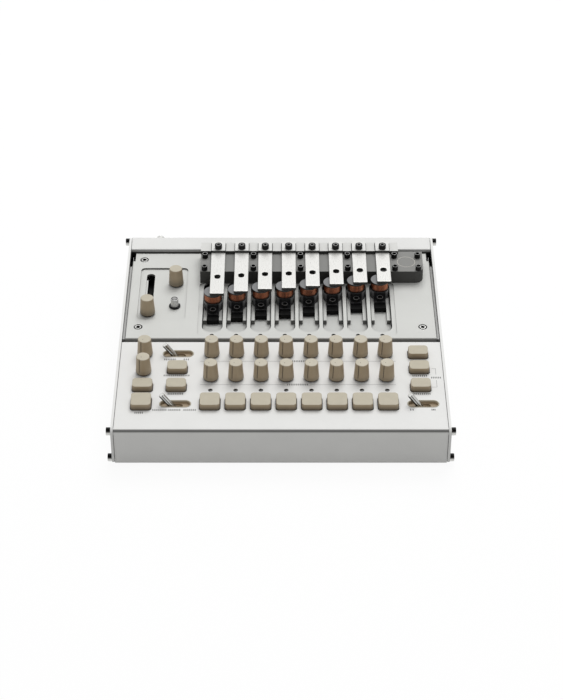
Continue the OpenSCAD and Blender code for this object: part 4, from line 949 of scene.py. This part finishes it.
# Push button: a bright turned plunger with a grey disc in a dark ring on its top, in a black collar
push = dict(x=-75.8, back=40.2, radius=2.75, top=5.7, low=-9.5, sink=0.05, disc=1.7, ring=2.3, discDeep=0.2,
            ringSink=0.03, collar=4.1, collarHigh=1.2, collarLow=-8.0, bore=2.8, neck=3.4)
pushSpot = deckSpot(push["x"], push["back"])
discFoot = push["top"] - push["discDeep"]
plunger = peg(push["radius"], push["low"], push["top"] - push["sink"], [0.3, 0.3], pushSpot, deckAxes, fine=5)
capDisc = peg(push["disc"], discFoot, push["top"], [0.05, 0.08], pushSpot, deckAxes)
ringTop = push["top"] - push["ringSink"]
capRing = flatRing(push["disc"], push["ring"], discFoot, ringTop, pushSpot, deckAxes, 48)
newPiece("push_button_plunger", [(plungerSteel, [plunger]), (capSteel, [capDisc]), (blackSteel, [capRing])],
         "push_button", ["push_button"])
collarFoot = push["sink"] - deckLayout["pocketDepth"]
collarTop = push["collarHigh"] - deckLayout["pocketDepth"]
bore, outer, neck, low = (push[k] for k in ("bore", "collar", "neck", "collarLow"))
collar = filleted([(bore, low), (bore, collarTop), (outer, collarTop), (outer, collarFoot),
                   (neck, collarFoot), (neck, low)], [0.15, 0.45, 0.1, 0.1], 5)
collarShell = revolved(collar, pushSpot, deckAxes, 64, loop=True)
newPiece("push_collar", [(blackSteel, [collarShell])], "case")
print("push button")

# Lamps: dark domes in the panel and on the deck
lamp = dict(radius=1.5, low=-3.0, proud=0.15, row=42.1, dome=0.25, deckBack=5.1, deckAside=-0.8,
            deckLow=-1.65, deckTop=-0.95, deckRadius=1.42)


# Lens: a short drum whose top is a shallow dome, height falling with the radius squared
def lensShell(origin, axes, radius, low, high):
    share = np.linspace(1, 0.05, 9)
    dome = np.stack([radius * share, high - lamp["dome"] * share ** 2], 1)
    return revolved(np.concatenate([[[0.2, low], [radius, low]], dome]), origin, axes, 40)


columns = [overNode(n, panelTop)[0] for n in keyNames if n.startswith("step")]
lampRow = frontFace + lamp["row"] * mm
lenses = [lensShell([x, lampRow, panelTop], levelAxes, lamp["radius"], lamp["low"], lamp["proud"])
          for x in columns]
lenses += [lensShell(deckSpot(x / mm + lamp["deckAside"], lamp["deckBack"]), deckAxes, lamp["deckRadius"],
                     lamp["deckLow"], lamp["deckTop"]) for x in columns]
newPiece("lamp_lenses", [(lampLens, lenses)], "case")
print("lamps:", len(lenses))

# Boards under the panel and the pocket, with the bodies of the controls
boards = dict(thick=1.6, front=9.0, depth=82.0, left=-105.6, right=104.35, edge=0.15, potTop=-6.5, potX=9.6,
              potY=10.0, switchTop=-8.0, switchSize=6.4, run=0.05, bodyEdge=0.25, smallTop=-14.0,
              smallX=-84.85, smallBack=54.65, smallWide=32.3, smallDeep=66.3)
faderBody = dict(deep=61.0, wallWide=2.6, wallAside=3.2, wallTop=-4.5, wallEdge=0.3, floorWide=3.7,
                 floorTop=-10.2, guideWide=1.3, guideAside=-2.35, guideBack=60.0, guideDeep=28.0,
                 guideTop=-2.0, edge=0.2)
boardTop = toggle["boardTop"]
boardMiddle = [(boards["left"] + boards["right"]) / 2 * mm,
               frontFace + (boards["front"] + boards["depth"] / 2) * mm, panelTop]
boardShells = [softBox(boards["right"] - boards["left"], boards["depth"], boardTop - boards["thick"],
                       boardTop, boards["edge"], boardMiddle),
               deckBox(boards["smallWide"], boards["smallDeep"], boards["smallTop"] - boards["thick"],
                       boards["smallTop"], boards["edge"], boards["smallX"], boards["smallBack"])]
newPiece("boards", [(boardMask, boardShells)], "case", ["control_board"])


# A control's body with a bore for its shaft: a square ring between two levels
def boredBox(sizeX, sizeY, low, high, shaft, origin, axes=levelAxes):
    e, bore = boards["bodyEdge"], shaft + boards["run"]
    halfX = np.array([bore, bore, sizeX / 2 - e, sizeX / 2, sizeX / 2, sizeX / 2 - e])
    halfY = np.array([bore, bore, sizeY / 2 - e, sizeY / 2, sizeY / 2, sizeY / 2 - e])
    corner = np.array([bore, bore, e, e, e, e])
    heights = [low, high, high, high - e, low + e, low]
    return rectLoft(halfX, halfY, corner, heights, origin, axes, steps=9, loop=True)


# A part of the fader's body: a soft bar along its slot
def faderBar(wide, aside, middle, deep, low, high, edge):
    return deckBox(wide, deep, low, high, edge, fader["x"] + aside, middle)


bodies = [boredBox(boards["potX"], boards["potY"], boardTop, boards["potTop"], knob["shaft"],
                   np.array(joints[n + "_turn"]["pos_m"])) for n in knobNames if n != "pocket_knob"]
bodies += [boredBox(boards["switchSize"], boards["switchSize"], boardTop, boards["switchTop"], key["stem"],
                    overNode(n, panelTop)) for n in keyNames]
pocketPotTop = boards["potTop"] - deckLayout["pocketDepth"]
bodies.append(boredBox(boards["potX"], boards["potY"], boards["smallTop"], pocketPotTop, knob["shaft"],
                       pocketKnobSpot, deckAxes))
faderMiddle = fader["back"] + fader["travel"] / 2
bodies += [faderBar(faderBody["wallWide"], side * faderBody["wallAside"], faderMiddle, faderBody["deep"],
                    boards["smallTop"], faderBody["wallTop"], faderBody["wallEdge"]) for side in (-1, 1)]
bodies.append(faderBar(faderBody["floorWide"], 0, faderMiddle, faderBody["deep"], boards["smallTop"],
                       faderBody["floorTop"], faderBody["edge"]))
guide = faderBar(faderBody["guideWide"], faderBody["guideAside"], faderBody["guideBack"],
                 faderBody["guideDeep"], faderBody["wallTop"], faderBody["guideTop"], faderBody["edge"])
newPiece("control_bodies", [(tongueBlack, bodies), (clampMetal, [guide])], "case")
print("boards and", len(bodies), "control bodies")

# Rear sockets: jacks with knurled nuts, a flat port and a power inlet
rear = dict(jacks=((-90.0, 4.5), (-62.0, 14.0), (-46.0, 14.0), (-30.0, 14.0), (-14.0, 14.0)), collar=3.25,
            reach=3.4, bore=1.75, deep=-7.5, nut=4.0, nutHigh=1.6, nutKnurls=32, nutKnurl=0.12, run=0.05,
            bodyX=9.0, bodyY=8.0, bodyDeep=11.0, bodyDown=1.5, sheet=1.5, bodyGap=0.1, edge=0.3)
port = dict(x=18.0, down=14.0, wide=9.0, high=3.3, deep=-8.0, tongueX=6.6, tongueY=0.8, tongueLow=-6.5,
            tongueTop=-0.9)
inlet = dict(x=62.0, radius=5.0, bore=3.1, rise=0.4, deep=-9.0, pin=1.0, pinLow=-9.5, pinTop=-1.0)
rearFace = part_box("rear_cover")[1].y


# A place on the rear face: across, and down from the panel's top
def rearSpot(x, down):
    return np.array([x * mm, rearFace, panelTop - down * mm])


# The nut's knurl is a cosine round the turn, on its outside alone
def nutKnurl(turn, radius, height):
    wave = 0.5 - 0.5 * np.cos(rear["nutKnurls"] * turn)
    return radius - rear["nutKnurl"] * (radius > rear["nut"] - 0.2) * wave, height


collars, darkSockets = [], []
tube = filleted([(rear["bore"], rear["deep"]), (rear["bore"], rear["reach"]), (rear["collar"], rear["reach"]),
                 (rear["collar"], rear["deep"])], [0.25, 0.35], 5)
nutBore = rear["collar"] + rear["run"]
nutRing = filleted([(nutBore, rear["run"]), (nutBore, rear["nutHigh"]), (rear["nut"], rear["nutHigh"]),
                    (rear["nut"], rear["run"])], [0.15, 0.25], 4)
for x, down in rear["jacks"]:
    collars.append(revolved(tube, rearSpot(x, down), backAxes, 64, loop=True))
    bodySpot = rearSpot(x, down + rear["bodyDown"])
    darkSockets.append(softBox(rear["bodyX"], rear["bodyY"], -rear["sheet"] - rear["bodyDeep"],
                               -rear["sheet"] - rear["bodyGap"], rear["edge"], bodySpot, backAxes))
    if down > rear["nut"] + 1:
        collars.append(revolved(nutRing, rearSpot(x, down), backAxes, 96, shape=nutKnurl, loop=True))
portSpot = rearSpot(port["x"], port["down"])
portIn = np.array([0.4, 0.4, 0.25, 0.0, 0.0])
collars.append(rectLoft(port["wide"] / 2 - portIn, port["high"] / 2 - portIn, port["high"] / 2 - 0.2 - portIn,
                        [port["deep"], -0.2, 0.0, -0.15, port["deep"]], portSpot, backAxes, loop=True))
darkSockets.append(softBox(port["tongueX"], port["tongueY"], port["tongueLow"], port["tongueTop"], 0.15,
                           portSpot, backAxes))
inletSpot = rearSpot(inlet["x"], port["down"])
inletWall = filleted([(inlet["bore"], inlet["deep"]), (inlet["bore"], inlet["rise"]),
                      (inlet["radius"], inlet["rise"]), (inlet["radius"], inlet["deep"])], [0.3, 0.35], 5)
darkSockets.append(revolved(inletWall, inletSpot, backAxes, 64, loop=True))
collars.append(peg(inlet["pin"], inlet["pinLow"], inlet["pinTop"], [0.2, 0.4], inletSpot, backAxes, 32))
newPiece("rear_collars", [(brightSteel, collars)], "case")
newPiece("rear_socket_bodies", [(blackSteel, darkSockets)], "case")
print("rear sockets:", len(collars) + len(darkSockets))

# Printed marks on the panel: rules across the voices, a bracket at the right, and rows of plain ticks by the
# controls. A rule has its two ends and its row, so has a row of ticks, and a post its place and two rows
marks = dict(high=0.05, edge=0.02, line=0.3, tickWide=0.62, tickDeep=1.7, tickPitch=1.25,
             rules=((-55.4, 6.9, 73.3), (21.0, 78.8, 73.3), (-54.9, 2.6, 48.0), (19.7, 77.7, 48.0),
                    (102.9, 105.8, 65.2), (102.1, 105.2, 45.3)),
             posts=((105.5, 58.9, 65.2), (105.5, 45.3, 52.7)),
             ticks=((-79.9, -72.8, 75.3), (-66.5, -63.7, 75.3), (-79.5, -62.7, 57.8), (-75.9, -66.2, 38.1),
                    (-85.4, -76.7, 21.3), (-74.7, -67.5, 21.3), (-64.6, -57.1, 21.3), (-97.1, -92.2, 18.4),
                    (89.9, 98.9, 57.4), (88.9, 100.3, 38.1), (102.4, 108.4, 55.5), (86.5, 88.1, 21.6),
                    (100.7, 102.7, 21.6), (8.0, 19.0, 73.3), (4.5, 18.0, 48.0)))


# A printed bar on the panel, given by its middle across, its distance from the front face and its two sizes
def printed(x, row, wide, deep):
    return softBox(wide, deep, 0.0, marks["high"], marks["edge"], [x * mm, frontFace + row * mm, panelTop])


lines = [printed((left + right) / 2, row, right - left, marks["line"]) for left, right, row in marks["rules"]]
lines += [printed(x, (low + high) / 2, marks["line"], high - low) for x, low, high in marks["posts"]]
ticks = []
for left, right, row in marks["ticks"]:
    number = round((right - left) / marks["tickPitch"]) + 1
    ticks += [printed(x, row, marks["tickWide"], marks["tickDeep"]) for x in np.linspace(left, right, number)]
newPiece("printed_marks", [(ruleInk, lines), (printInk, ticks)], "case")
print("printed marks:", len(lines) + len(ticks))

# Stage: a plain pale floor that is white to the camera and in reflections, and keeps the object's shadow
stage = dict(floorSize=12.0, floorColor=(0.52, 0.52, 0.51), whiteShare=0.93)
floorMesh = bpy.data.meshes.new("floor")
reach = stage["floorSize"] / 2
floorMesh.from_pydata([(-reach, -reach, 0), (reach, -reach, 0), (reach, reach, 0), (-reach, reach, 0)], [],
                      [(0, 1, 2, 3)])
floor = bpy.data.objects.new("floor", floorMesh)
scene.collection.objects.link(floor)
paper = newFinish("floorPaper", stage["floorColor"], 0.9)


# One for rays that show the background: straight from the camera, in gloss, or through glass
def showsBackground(add, join):
    path = add("ShaderNodeLightPath")
    plain = add("ShaderNodeMath", operation="MAXIMUM")
    anyRay = add("ShaderNodeMath", operation="MAXIMUM")
    join(path.outputs["Is Camera Ray"], plain.inputs[0])
    join(path.outputs["Is Glossy Ray"], plain.inputs[1])
    join(plain.outputs[0], anyRay.inputs[0])
    join(path.outputs["Is Transmission Ray"], anyRay.inputs[1])
    return anyRay.outputs[0]


glow = paper.add("ShaderNodeEmission", Strength=1.0)
blend = paper.add("ShaderNodeMixShader")
tint = paper.add("ShaderNodeMix", data_type="RGBA")
tint.inputs["A"].default_value = (*stage["floorColor"], 1)
tint.inputs["B"].default_value = (1, 1, 1, 1)
seen = showsBackground(paper.add, paper.join)
paper.join(seen, tint.inputs["Factor"])
paper.join(tint.outputs["Result"], paper.shader.inputs["Base Color"])
paper.join(spread(paper, seen, 0, 1, 0, stage["whiteShare"]), blend.inputs["Fac"])
paper.join(paper.shader.outputs[0], blend.inputs[1])
paper.join(glow.outputs[0], blend.inputs[2])
paper.join(blend.outputs[0], paper.tree.nodes["Material Output"].inputs["Surface"])
floorMesh.materials.append(paper.material)

# Light: a white room that is dim for the object, and one wide soft lamp above and behind
light = dict(roomStrength=0.50, lampPower=44.5, lampSize=1.8, lampPlace=(0.3, 1.3, 2.3))
world = bpy.data.worlds.new("room")
scene.world = world
world.use_nodes = True
worldTree = world.node_tree


# A node of the world with its settings
def addWorld(kind, **values):
    node = worldTree.nodes.new(kind)
    for setting, value in values.items():
        setattr(node, setting, value)
    return node


strength = addWorld("ShaderNodeMapRange")
strength.inputs["To Min"].default_value = light["roomStrength"]
strength.inputs["To Max"].default_value = 1.0
worldTree.links.new(showsBackground(addWorld, worldTree.links.new), strength.inputs["Value"])
worldTree.nodes["Background"].inputs["Color"].default_value = (1, 1, 1, 1)
worldTree.links.new(strength.outputs["Result"], worldTree.nodes["Background"].inputs["Strength"])
lampData = bpy.data.lights.new("softLamp", "AREA")
lampData.energy = light["lampPower"]
lampData.shape = "DISK"
lampData.size = light["lampSize"]
lampObject = bpy.data.objects.new("softLamp", lampData)
lampObject.location = light["lampPlace"]
aim = np.array(light["lampPlace"])
lampObject.rotation_euler = (-math.atan2(aim[1], aim[2]), math.atan2(aim[0], aim[2]), 0)
scene.collection.objects.link(lampObject)

# Camera: the picture's own view, in its frame of 563 by 700
view = dict(place=(0.37, -1108.05, 885.31), down=38.31, focalPixels=1992.2, frameHigh=700, sensorHigh=24.0)
cameraData = bpy.data.cameras.new("camera")
cameraData.sensor_fit = "VERTICAL"
cameraData.sensor_height = view["sensorHigh"]
cameraData.lens = view["focalPixels"] / view["frameHigh"] * view["sensorHigh"]
camera = bpy.data.objects.new("camera", cameraData)
camera.location = [c * mm for c in view["place"]]
camera.rotation_euler = (math.radians(90 - view["down"]), 0, 0)
scene.collection.objects.link(camera)
scene.camera = camera
scene.view_settings.view_transform = "Standard"
print("stage, light and camera")
